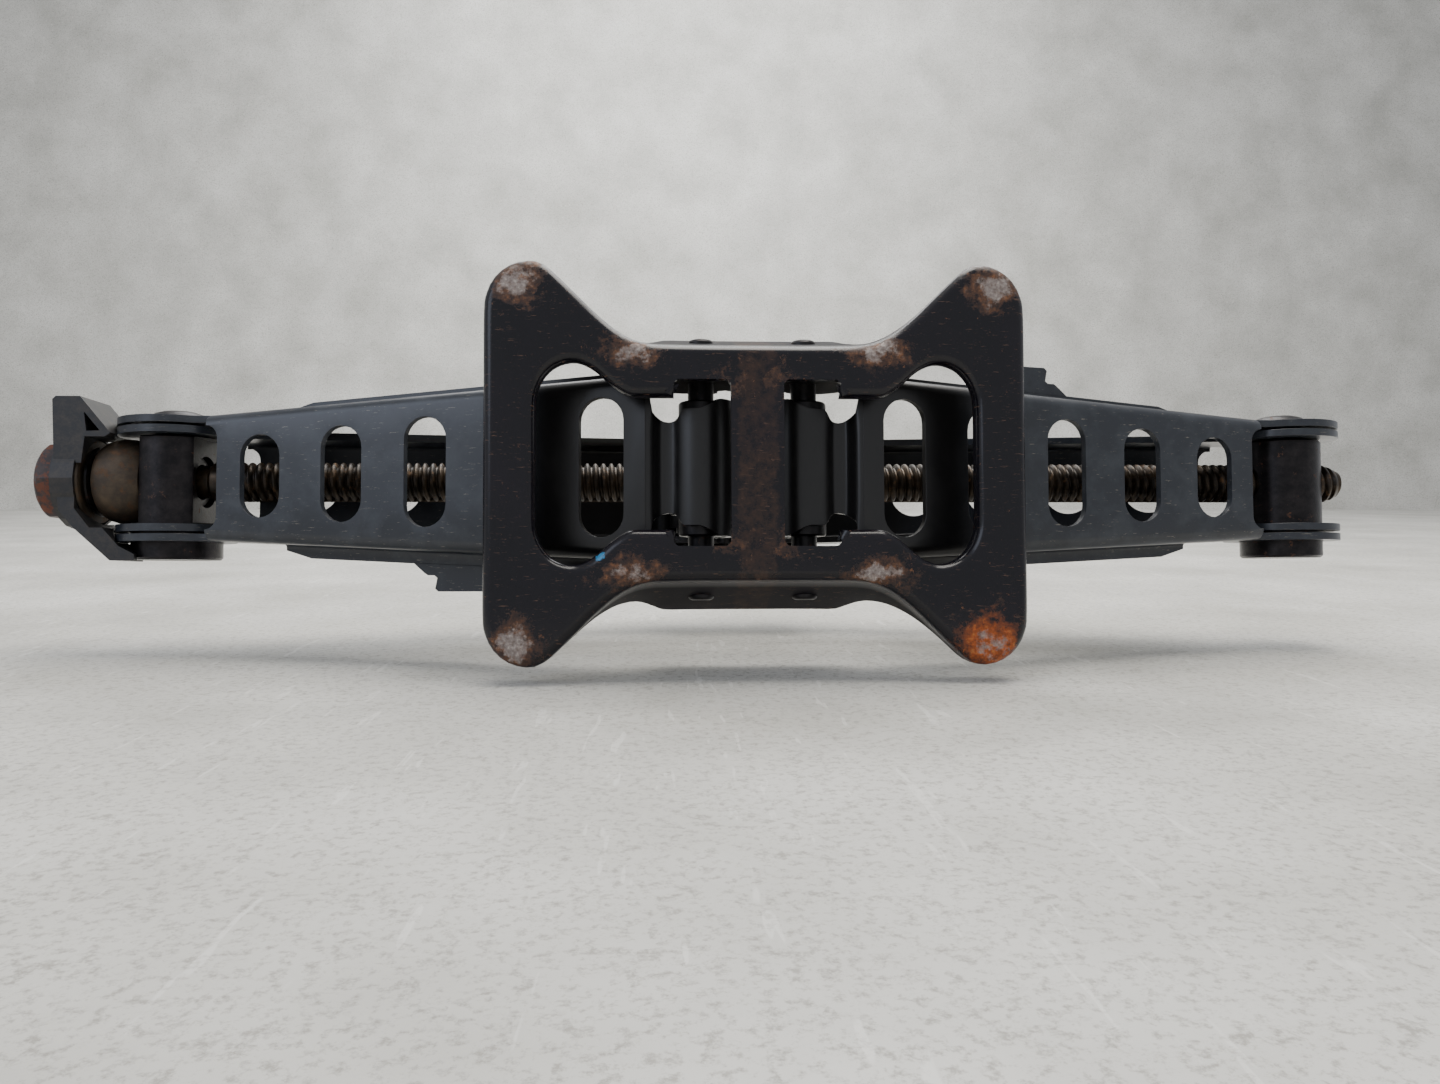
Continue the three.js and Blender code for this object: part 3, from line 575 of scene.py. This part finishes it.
def tongue_half(kind, u, z):
    """Half width of the tongue, which round reliefs narrow between the web and the roll."""
    wide = kind["roll_half"]
    if u > 10.2 or (z > 0 and u < 2):
        return wide
    if z > 0:
        return TONGUE_NOTCH
    if u > RELIEF_ALONG - RELIEF_RADIUS:
        return min(wide, RELIEF_ACROSS - math.sqrt(max(RELIEF_RADIUS ** 2 - (u - RELIEF_ALONG) ** 2, 0)))
    flare = min(max((-1.2 - u) / 5.0, 0), 1)
    return min(wide, 14.6 + 2.7 * flare ** 1.5)


def arm_mesh(kind, teeth, holes, tab_side, ear_bore):
    """An arm about its geared pivot, running along +X with its web below, as its outer skin."""
    mesh_data = bmesh.new()
    fillet = kind["fillet"]
    web_end = kind["web_to"] + fillet
    stations = [WEB_FROM + (web_end - WEB_FROM) * i / 16 for i in range(17)]
    edge = [(u, arm_half(kind, u) - ARM_BEND) for u in stations]
    corner_y = edge[-1][1] - fillet
    corner = circle(web_end, corner_y, fillet, 90, 180, 6)[1:]
    half = edge + corner
    web = half + [(u, -y) for u, y in reversed(half)]
    filled(mesh_data, [web, *holes], lambda u, y: (u, y, -WEB_DROP), (0, 0, -1))
    lip = kind["lip"]
    flange_top = FLANGE_RISE - ARM_SHEET - LIP_BEND if lip else FLANGE_RISE
    lip_stations = [u for u in stations if LIP_FROM - 1 < u < LIP_TO + 1]
    ear_low = max(math.degrees(math.asin((WEB_DROP - ARM_BEND) / EAR_RADIUS)),
                  math.degrees(math.acos(min((ARM_LENGTH - web_end) / EAR_RADIUS, 1))))
    ear_high = math.degrees(math.asin(FLANGE_RISE / EAR_RADIUS))
    side_view = [(u, ARM_BEND - WEB_DROP) for u in stations[:-1]]
    side_view += circle(ARM_LENGTH, 0, EAR_RADIUS, -180 + ear_low, 180 - ear_high, 44)
    side_view[len(stations) - 1] = (web_end, ARM_BEND - WEB_DROP)
    if lip:
        side_view += [(lip_stations[-1] + 0.6, FLANGE_RISE)]
        side_view += [(u, flange_top) for u in reversed(lip_stations)]
        side_view += [(lip_stations[0] - 0.6, FLANGE_RISE)]
    else:
        side_view += [(u, FLANGE_RISE) for u in reversed(stations[:-1])]
    first, last = min(teeth) - 22, max(teeth) + 22
    side_view += circle(0, 0, 12.9, 24, first, 5)
    for tooth in sorted(teeth):
        side_view += tooth_points(tooth)[::-1]
    side_view += circle(0, 0, 12.9, last, 315, 12)
    for side in (1, -1):
        bore = ear_bore if side == kind["big_ear"] else 6.5
        bores = [circle(ARM_LENGTH, 0, bore, 0, 350, 35), circle(0, 0, 3.6, 0, 340, 17)]
        place = lambda u, z: (u, side * arm_half(kind, u), z)
        filled(mesh_data, [side_view, *bores], place, (0, side, 0))
        rows = []
        for step in range(5):
            turn = math.pi / 2 * step / 4
            grow, rise = ARM_BEND * math.sin(turn), ARM_BEND * (1 - math.cos(turn))
            rows.append([(u, side * (y + grow), rise - WEB_DROP) for u, y in edge])
        strip(mesh_data, rows, side > 0)
        if lip:
            run = lip_stations
            rows = []
            for step in range(4):
                turn = math.pi / 2 * step / 3
                rows.append([(u, side * (arm_half(kind, u) + LIP_BEND * (1 - math.cos(turn))),
                              flange_top + LIP_BEND * math.sin(turn)) for u in run])
            widths = [lip if run[0] < u < run[-1] else LIP_END_WIDTH for u in run]
            rows.append([(u, side * (arm_half(kind, u) + width), flange_top + LIP_BEND)
                         for u, width in zip(run, widths)])
            strip(mesh_data, rows, side > 0)
    bmesh.ops.remove_doubles(mesh_data, verts=mesh_data.verts, dist=2e-5)
    tongue = [(12.6, -11.4), (11.6, -11.35), (10.6, -10.8), (10.1, -10.0), (9.8, -9.0), (9.5, -8.2),
              (9.1, -7.4), (8.6, -6.9), (8.0, -6.7), (6.9, -6.6), (6.0, -6.6)]
    tongue += circle(0, 0, 8.5, -52, -350, 44)
    halves = [tongue_half(kind, u, z) for u, z in tongue]
    rows = [[(u, share * half, z) for (u, z), half in zip(tongue, halves)] for share in (-1, -0.5, 0.5, 1)]
    strip(mesh_data, rows, False)
    if tab_side:
        inner = lambda u: arm_half(kind, u) + lip - 0.4
        outline = [(52, inner(52)), (81, inner(81)), (77.4, 26.0), (76.4, 26.6), (74.6, 26.6), (73.7, 27.3),
                   (74.3, 30.2), (73.4, 31), (56, 31), (54, 30)]
        filled(mesh_data, [outline], lambda u, y: (u, tab_side * y, FLANGE_RISE - ARM_SHEET), (0, 0, -1))
    return mesh_data


def slot_outline(centre, half, radius):
    """An oblong hole across the arm."""
    return (circle(centre, half - radius, radius, 0, 180, 12)
            + circle(centre, radius - half, radius, 180, 360, 12))


def place_arm(mesh_data, side, upper):
    """Turns an arm from its own frame into the jack's. side is -1 for the left arm."""
    turn = Matrix.Rotation(math.pi, 4, "X") if upper else Matrix()
    lean = Matrix.Rotation(-ARM_ANGLE if not upper else ARM_ANGLE, 4, "Y")
    mirror = Matrix.Scale(-1, 4, (1, 0, 0)) if side < 0 else Matrix()
    height = SADDLE_Z if upper else PIVOT_Z
    where = Matrix.Translation((side * PIVOT_X * MM, 0, height * MM))
    bmesh.ops.transform(mesh_data, matrix=where @ mirror @ lean @ turn, verts=mesh_data.verts)
    if side < 0:
        bmesh.ops.reverse_faces(mesh_data, faces=mesh_data.faces)


arm_paint, tree, shader = new_material("satin blue-black arm paint")
spot = add(tree, "TexCoord").outputs["Object"]
streaks = add(tree, "Mapping", Vector=spot, Rotation=(0, 0.2, 0.9), Scale=(1, 16, 6)).outputs[0]
scratches = add(
    tree, "ValToRGB",
    Fac=add(
        tree, "TexNoise", Vector=streaks, Scale=1.0 / (7.0 * MM), Detail=3.0, Roughness=0.8).outputs["Fac"],
    stops=((0.64, 0.0), (0.69, 0.6))).outputs["Color"]
dust = add(
    tree, "ValToRGB",
    Fac=add(
        tree, "TexNoise", Vector=spot, Scale=1.0 / (9.0 * MM), Detail=6.0, Roughness=0.65).outputs["Fac"],
    stops=((0.45, 0.0), (0.75, 0.35))).outputs["Color"]
paint = add(tree, "MixRGB", Fac=dust, Color1=linear("20242b"), Color2=linear("4a5057")).outputs["Color"]
# Painted shade: the arms turn near-black (0b0a0b) within about 52 to 68 mm of the middle, where they pass
# inside the base and lie in its shade. The scratches fade out there too.
from_centre = add(
    tree, "Math", operation="ABSOLUTE", i0=add(tree, "SeparateXYZ", Vector=spot).outputs["X"]).outputs[0]
painted_shade_inboard = add(
    tree, "MapRange", Value=from_centre, From_Min=0.052, From_Max=0.068, To_Min=1.0, To_Max=0.0).outputs[0]
paint = add(tree, "MixRGB", Fac=painted_shade_inboard, Color1=paint, Color2=linear("0b0a0b")).outputs["Color"]
scratches = add(
    tree, "Math", operation="MULTIPLY", i0=scratches,
    i1=add(tree, "Math", operation="SUBTRACT", i0=1.0, i1=painted_shade_inboard).outputs[0]).outputs[0]
tree.links.new(
    add(tree, "MixRGB", Fac=scratches, Color1=paint, Color2=linear("8a8478")).outputs["Color"],
    shader.inputs["Base Color"])
tree.links.new(
    add(tree, "MixRGB", Fac=dust, Color1=(0.3, 0.3, 0.3, 1), Color2=(0.55, 0.55, 0.55, 1)).outputs["Color"],
    shader.inputs["Roughness"])
tree.links.new(
    add(
        tree, "Bump",
        Height=add(
            tree, "TexNoise", Vector=spot, Scale=1.0 / (1.2 * MM), Detail=3.0,
            Roughness=0.55).outputs["Fac"], Strength=0.12, Distance=0.1 * MM).outputs["Normal"],
    shader.inputs["Normal"])

mesh_angle = 180 - math.degrees(ARM_ANGLE)
for side, hand in ((-1, "left"), (1, "right")):
    steps = (-60, -30, 0) if side > 0 else (-75, -45, -15, 15)
    teeth = [mesh_angle + step for step in steps]
    slots = [slot_outline(23 + 23.7 * i, 17.5 - 1.6 * i, 5.8) for i in range(5)]
    rounds = [circle(44 + 24 * i, 0, 7.4, 0, 350, 35) for i in range(4)]
    arms = ((LOWER, "lower_arm_", slots, False), (UPPER, "upper_arm_", rounds, True))
    for kind, name, holes, upper in arms:
        mesh_data = arm_mesh(kind, teeth, holes, 0 if upper else -side, TRUNNION_RADIUS[side] + 0.3)
        place_arm(mesh_data, side, upper)
        smooth_by_angle(mesh_data, 38)
        body = ("upper_" if upper else "lower_") + hand
        channel = link(name + hand + "_channel", mesh_data, arm_paint, body, name + hand)
        skin = channel.modifiers.new("sheet", "SOLIDIFY")
        skin.thickness = ARM_SHEET * MM
        skin.offset = -1
        soften(channel, 0.3)


# ------------------------------------------------------------------ saddle
# Pressed from the same sheet: two walls that hold the upper pins, joined by a top with a
# groove along it for the car's sill flange.
SADDLE_WALL = 16.9
SADDLE_TOP = 107.8
mesh_data = bmesh.new()
section = [(-SADDLE_WALL - SHEET, SADDLE_Z - 7), (-SADDLE_WALL - SHEET, SADDLE_TOP - 3)]
section += circle(-SADDLE_WALL - SHEET + 3, SADDLE_TOP - 3, 3, 180, 90, 5)[1:]
section += [(-7.2, SADDLE_TOP), *circle(-7.2, SADDLE_TOP - 1.6, 1.6, 90, 10, 4), (-4.4, SADDLE_TOP - 4.2)]
section += [(-3.2, SADDLE_TOP - 5)]
section += [(-y, z) for y, z in reversed(section)]
stations = [-27, -26.4, -20, -10, 0, 10, 20, 26.4, 27]
rows = []
for x in stations:
    lean = 1 - 0.12 * (abs(x) > 26.9)
    rows.append([(x - math.copysign(max(0.0, (SADDLE_TOP - 3 - z)) * 0.075 * (abs(x) > 20), x), y,
                  SADDLE_TOP - (SADDLE_TOP - z) * lean) for y, z in section])
strip(mesh_data, rows, False)
bmesh.ops.recalc_face_normals(mesh_data, faces=mesh_data.faces)
mesh_data.faces.ensure_lookup_table()
top_face = max(mesh_data.faces, key=lambda face: face.calc_center_median().z)
if top_face.normal.z < 0:
    bmesh.ops.reverse_faces(mesh_data, faces=mesh_data.faces)
smooth_by_angle(mesh_data, 35)
saddle = link("saddle_pressing", mesh_data, arm_paint, "head", "saddle")
saddle_skin = saddle.modifiers.new("sheet", "SOLIDIFY")
saddle_skin.thickness = SHEET * MM
saddle_skin.offset = -1
soften(saddle, 0.4)


# ------------------------------------------------------------------ pins and sleeves
# Plain steel pins riveted at their ends, each through a thin tube that the web is rolled
# round. Dark phosphate finish with a little rust.
def turned(profile, segments=48):
    """A solid turned about Z from (radius, height) points in mm, both ends on the axis."""
    mesh_data = bmesh.new()
    verts = [mesh_data.verts.new((radius * MM, 0, height * MM)) for radius, height in profile]
    edges = [mesh_data.edges.new(pair) for pair in zip(verts, verts[1:])]
    bmesh.ops.spin(mesh_data, geom=verts + edges, cent=(0, 0, 0), axis=(0, 0, 1), angle=2 * math.pi,
                   steps=segments, use_merge=True)
    bmesh.ops.remove_doubles(mesh_data, verts=mesh_data.verts, dist=1e-6)
    bmesh.ops.recalc_face_normals(mesh_data, faces=mesh_data.faces)
    smooth_by_angle(mesh_data, 30)
    return mesh_data


def lay_along(mesh_data, axis, x, z):
    """Turns a piece made about Z so that it lies along X or Y, then moves it."""
    turn = Matrix.Rotation(math.pi / 2, 4, "Y") if axis == "X" else Matrix.Rotation(-math.pi / 2, 4, "X")
    move = Matrix.Translation((x * MM, 0, z * MM))
    bmesh.ops.transform(mesh_data, matrix=move @ turn, verts=mesh_data.verts)
    return mesh_data


def rusty_steel(name, base, light, rust_low, rust_high, amount, roughness, metallic):
    """Oiled or phosphated steel with rust in blotches. amount is about the rusty share."""
    material, tree, shader = new_material(name)
    spot = add(tree, "TexCoord").outputs["Object"]
    patches = add(
        tree, "ValToRGB",
        Fac=add(
            tree, "TexNoise", Vector=spot, Scale=1.0 / (4.0 * MM), Detail=6.0,
            Roughness=0.7).outputs["Fac"], stops=((0.4, 0.0), (0.7, 1.0))).outputs["Color"]
    body = add(tree, "MixRGB", Fac=patches, Color1=linear(base), Color2=linear(light)).outputs["Color"]
    rust = add(
        tree, "MixRGB",
        Fac=add(
            tree, "TexNoise", Vector=spot, Scale=1.0 / (1.1 * MM), Detail=6.0,
            Roughness=0.7).outputs["Fac"], Color1=linear(rust_low),
        Color2=linear(rust_high)).outputs["Color"]
    where = add(
        tree, "ValToRGB",
        Fac=add(
            tree, "TexNoise", Vector=spot, Scale=1.0 / (3.0 * MM), Detail=8.0,
            Roughness=0.7).outputs["Fac"],
        stops=((0.66 - amount * 0.4, 0.0), (0.74 - amount * 0.4, 1.0))).outputs["Color"]
    tree.links.new(
        add(tree, "MixRGB", Fac=where, Color1=body, Color2=rust).outputs["Color"],
        shader.inputs["Base Color"])
    tree.links.new(
        add(tree, "MapRange", Value=where, To_Min=roughness, To_Max=0.85).outputs[0],
        shader.inputs["Roughness"])
    tree.links.new(
        add(tree, "MapRange", Value=where, To_Min=metallic, To_Max=0.1).outputs[0],
        shader.inputs["Metallic"])
    tree.links.new(
        add(
            tree, "Bump",
            Height=add(
                tree, "TexNoise", Vector=spot, Scale=1.0 / (0.9 * MM), Detail=5.0,
                Roughness=0.7).outputs["Fac"], Strength=0.35, Distance=0.12 * MM).outputs["Normal"],
        shader.inputs["Normal"])
    return material


dark_steel = rusty_steel("dark phosphated steel", "151416", "2e2b2c", "3a241b", "6b4028", 0.12, 0.34, 0.6)
PIN_RADIUS = 3.3
PIN_HEAD = 4.6
SLEEVE_RADIUS = 5.7
BASE_PIN_END = 33.3
SADDLE_PIN_END = 21.7
for side, hand in ((-1, "left"), (1, "right")):
    x = side * PIVOT_X
    end = BASE_PIN_END
    pin = turned([(0, -end), (2.3, -end), (3.0, -end + 0.3), (PIN_RADIUS, -end + 0.8),
                  (PIN_RADIUS, end - 0.8), (3.0, end - 0.3), (2.3, end), (0, end)])
    link("base_pin_%s_turned" % hand, lay_along(pin, "Y", x, PIVOT_Z), dark_steel, "base", "base_pin_" + hand)
    end = SADDLE_PIN_END
    pin = turned([
        (0, -end), (2.6, -end), (4.0, -end + 0.5), (PIN_HEAD, -end + 1.2), (PIN_HEAD, -end + 2),
        (PIN_RADIUS, -end + 2), (PIN_RADIUS, end - 2), (PIN_HEAD, end - 2), (PIN_HEAD, end - 1.2),
        (4.0, end - 0.5), (2.6, end), (0, end)])
    link("saddle_pin_%s_turned" % hand, lay_along(pin, "Y", x, SADDLE_Z), dark_steel, "head",
         "saddle_pin_" + hand)
    for height, name, body, half in ((PIVOT_Z, "base_sleeve_", "lower_", 17.1),
                                     (SADDLE_Z, "saddle_sleeve_", "upper_", 13.3)):
        tube = turned([(3.6, -half), (5.3, -half), (SLEEVE_RADIUS, -half + 0.4), (SLEEVE_RADIUS, half - 0.4),
                       (5.3, half), (3.6, half), (3.6, -half)], 40)
        link(name + hand + "_tube", lay_along(tube, "Y", x, height), dark_steel, body + hand, name + hand)


# ------------------------------------------------------------------ lead screw
# A rolled screw, 11.2 mm over its thread with 2.3 mm pitch, brown with old grease. The core
# runs on as a plain shank through the trunnion, the thrust bush and the hexagon.
SCREW_PITCH = 2.3
SCREW_CREST = 5.6
SCREW_ROOT = 4.45
THREAD_FROM, THREAD_TO = -147.5, 175.5
THREAD_SIDES = 36
greasy_steel = rusty_steel("greasy brown screw steel", "1d1813", "4a3c2c", "3d2a1a", "7a5a38",
                           0.2, 0.36, 0.55)
mesh_data = bmesh.new()
radii = [SCREW_CREST - 0.12, SCREW_CREST, SCREW_CREST - 0.12, SCREW_ROOT, SCREW_ROOT]
shares = [0.0, 0.16, 0.32, 0.58, 0.74]
turns = int((THREAD_TO - THREAD_FROM) / SCREW_PITCH)
columns = []
for side in range(THREAD_SIDES):
    around = side / THREAD_SIDES
    column = []
    for row in range(len(radii) * turns):
        turn, part = divmod(row, len(radii))
        x = THREAD_FROM + SCREW_PITCH * (turn + shares[part] + around)
        fade = min(1.0, (row + 1) / 6, (len(radii) * turns - row) / 8)
        radius = SCREW_ROOT - 0.3 + (radii[part] - SCREW_ROOT + 0.3) * fade
        angle = 2 * math.pi * around
        column.append(mesh_data.verts.new((x * MM, radius * math.cos(angle) * MM,
                                           (SCREW_Z + radius * math.sin(angle)) * MM)))
    columns.append(column)
for side in range(THREAD_SIDES):
    shift = len(radii) if side == THREAD_SIDES - 1 else 0
    this, after = columns[side], columns[(side + 1) % THREAD_SIDES]
    for row in range(len(this) - 1 - shift):
        a, b = this[row + shift], this[row + 1 + shift]
        c, d = after[row + 1], after[row]
        mesh_data.faces.new((a, b, c, d))
bmesh.ops.recalc_face_normals(mesh_data, faces=mesh_data.faces)
smooth_by_angle(mesh_data, 50)
core = turned([(0, -191.4), (4.6, -191.4), (4.6, -150), (5.5, -149), (5.5, -146), (4.4, -145),
               (4.4, 173.5), (3.6, 176.5), (0, 176.5)])
lay_along(core, "X", 0, SCREW_Z)
core_mesh = bpy.data.meshes.new("core")
core.to_mesh(core_mesh)
core.free()
mesh_data.from_mesh(core_mesh)
bpy.data.meshes.remove(core_mesh)
link("lead_screw_threaded", mesh_data, greasy_steel, "screw", "lead_screw")


# ------------------------------------------------------------------ trunnions
# Cross bars of black phosphated steel. Each is stepped down at one end to a neck that is spun
# over outside the ears. The thrust trunnion has a seat for the bush and a recess for the collar.
def carved(mesh_data, *cutters):
    """mesh_data with the cutters taken away."""
    pieces = []
    for source in (mesh_data, *cutters):
        mesh = bpy.data.meshes.new("blank")
        bmesh.ops.recalc_face_normals(source, faces=source.faces)
        source.to_mesh(mesh)
        source.free()
        blank = bpy.data.objects.new("blank", mesh)
        bpy.context.scene.collection.objects.link(blank)
        pieces.append(blank)
    for cutter in pieces[1:]:
        step = pieces[0].modifiers.new("cut", "BOOLEAN")
        step.operation = "DIFFERENCE"
        step.object = cutter
    bpy.context.view_layer.update()
    solved = pieces[0].evaluated_get(bpy.context.evaluated_depsgraph_get()).to_mesh()
    result = bmesh.new()
    result.from_mesh(solved)
    for piece in pieces:
        bpy.data.meshes.remove(piece.data)
    smooth_by_angle(result, 30)
    return result


def block(x0, x1, y0, y1, z0, z1):
    """A box between two corners in mm."""
    mesh_data = bmesh.new()
    size = Vector((x1 - x0, y1 - y0, z1 - z0)) * MM
    middle = Vector((x1 + x0, y1 + y0, z1 + z0)) * MM / 2
    place = Matrix.Translation(middle) @ Matrix.Diagonal((*size, 1))
    bmesh.ops.create_cube(mesh_data, size=1.0, matrix=place)
    return mesh_data


def rod(radius, x0, x1):
    """A round rod on the screw's axis."""
    return lay_along(turned([(0, x0), (radius, x0), (radius, x1), (0, x1)]), "X", 0, SCREW_Z)


TRUNNION_SHOULDER = 12.1
TRUNNION_NECK = 6.2
TRUNNION_CAP = 17.4
TRUNNION_END = 22.0
trunnion_steel = rusty_steel("black phosphated steel with specks of rust", "121013", "2a2627",
                             "2e1d15", "6e452a", 0.14, 0.33, 0.65)
for side, name, body in ((-1, "thrust_trunnion", "thrust_block"), (1, "nut_trunnion", "nut_block")):
    r = TRUNNION_RADIUS[side]
    x = side * TRUNNION_X
    bar = turned([
        (0, -TRUNNION_CAP - 2.4), (4.6, -TRUNNION_CAP - 2.3), (6.4, -TRUNNION_CAP - 1.7),
        (7.5, -TRUNNION_CAP - 0.8),
        (7.7, -TRUNNION_CAP), (TRUNNION_NECK, -TRUNNION_CAP), (TRUNNION_NECK, -TRUNNION_SHOULDER),
        (r - 0.5, -TRUNNION_SHOULDER), (r, -TRUNNION_SHOULDER + 0.5), (r, TRUNNION_END - 0.6),
        (r - 0.6, TRUNNION_END), (0, TRUNNION_END)], 72)
    lay_along(bar, "Y", x, SCREW_Z)
    if side < 0:
        z = SCREW_Z
        bar = carved(bar, block(x - 20, x - 6.3, -12.4, 11.8, z - 20, z + 20),
                     block(x + 7.8, x + 20, -11.9, 11.9, z - 20, z + 20),
                     rod(5.0, x - 30, x + 30), rod(7.3, x + 2, x + 30))
    else:
        bar = carved(bar, rod(5.9, x - 30, x + 30))
    link(name + "_bar", bar, trunnion_steel, body, name)


# ------------------------------------------------------------------ thrust stack
# The barrel shaped bush, a plain and a cupped washer and a collar, all turned steel that has
# gone brown with old grease and rust.
bush_rust = rusty_steel("brown rusty bush steel", "332a21", "4d4030", "2a1d14", "5e442c", 0.35, 0.62, 0.3)
bore = 5.0
stack = (
    ("thrust_bush", "thrust_block", bush_rust,
     [(bore, -179.8), (7.4, -179.8), (8.6, -179.6), (10.2, -178.7), (11.2, -177.2), (11.8, -175.2),
      (12, -173.2), (11.85, -171), (11.4, -169), (10.8, -167.4), (10, -166.4), (bore, -166.3),
      (bore, -179.8)]),
    ("plain_washer", "thrust_block", dark_steel,
     [(bore, -181.6), (7.2, -181.6), (9.4, -181.1), (9.8, -180.8), (9.8, -180.2), (9.5, -180.1),
      (bore, -180.1), (bore, -181.6)]),
    ("cupped_washer", "screw", bush_rust,
     [(bore, -184.3), (8, -184.3), (10.2, -184), (11.3, -183.4), (11.9, -182.1), (11.6, -181.6),
      (10.6, -181.5), (9.6, -181.9), (7.4, -182.2), (bore, -182.2), (bore, -184.3)]),
    ("retaining_collar", "screw", dark_steel,
     [(bore, -157.3), (6.5, -157.3), (6.9, -156.9), (6.9, -153.5), (6.5, -153.1), (bore, -153.1),
      (bore, -157.3)]),
)
for name, body, material, profile in stack:
    link(name + "_turned", lay_along(turned(profile, 56), "X", 0, SCREW_Z), material, body, name)


# ------------------------------------------------------------------ drive hexagon
# Forged on the screw's end, 20 mm across its flats, its outer corners turned off. Rusty
# brown, with dark smooth patches where the crank has rubbed.
HEX_FLATS = 20.0
HEX_FROM, HEX_TO = -188.6, -194.7
hex_steel = rusty_steel("rusty drive hexagon", "2c2729", "403534", "4f2c21", "6f4332", 0.45, 0.5, 0.35)
mesh_data = bmesh.new()
corner = HEX_FLATS / 2 / math.cos(math.pi / 6)
turned_off = [(0.15, HEX_TO), (8.4, HEX_TO), (9.5, HEX_TO + 0.5), (10.4, HEX_TO + 1.2), (11.1, HEX_TO + 2.1),
              (corner - 0.1, HEX_TO + 3), (corner, HEX_FROM), (0.15, HEX_FROM)]
hex_rings = []
for limit, x in turned_off:
    ring = []
    for step in range(72):
        around = math.radians(step * 5)
        flat = HEX_FLATS / 2 / math.cos((around + math.pi / 6) % (math.pi / 3) - math.pi / 6)
        radius = min(limit, flat)
        turn = around + math.pi / 6
        ring.append((x, radius * math.sin(turn), SCREW_Z + radius * math.cos(turn)))
    hex_rings.append(ring_of(mesh_data, ring)[0])
for low, high in zip(hex_rings, hex_rings[1:]):
    wall_between(mesh_data, low, high)
for ring in (hex_rings[0], hex_rings[-1]):
    mesh_data.faces.new(ring)
bmesh.ops.recalc_face_normals(mesh_data, faces=mesh_data.faces)
smooth_by_angle(mesh_data, 24)
link("drive_hex_forged", mesh_data, hex_steel, "screw", "drive_hex")


# ------------------------------------------------------------------ end bracket
# Moulded in black glass-filled nylon: a hub round the screw's neck, a wing with a ribbed
# pocket, and a strip that slants down to the end of the trunnion. Dusty and scuffed.
nylon, tree, shader = new_material("black moulded nylon, dusty")
spot = add(tree, "TexCoord").outputs["Object"]
dusty = add(
    tree, "ValToRGB",
    Fac=add(
        tree, "TexNoise", Vector=spot, Scale=1.0 / (3.0 * MM), Detail=8.0, Roughness=0.75).outputs["Fac"],
    stops=((0.45, 0.0), (0.72, 0.6))).outputs["Color"]
tree.links.new(
    add(tree, "MixRGB", Fac=dusty, Color1=linear("121317"), Color2=linear("3c342c")).outputs["Color"],
    shader.inputs["Base Color"])
shader.inputs["Roughness"].default_value = 0.5
tree.links.new(
    add(
        tree, "Bump",
        Height=add(
            tree, "TexNoise", Vector=spot, Scale=1.0 / (0.7 * MM), Detail=4.0,
            Roughness=0.55).outputs["Fac"], Strength=0.3, Distance=0.1 * MM).outputs["Normal"],
    shader.inputs["Normal"])
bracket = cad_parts["end_bracket"]
bracket.material_slots[0].material = nylon
bracket_edge = bracket.modifiers.new("moulded edges", "BEVEL")
bracket_edge.width = 0.5 * MM
bracket_edge.segments = 3
bracket_edge.limit_method = "ANGLE"
bracket_edge.angle_limit = math.radians(35)

bpy.context.view_layer.update()
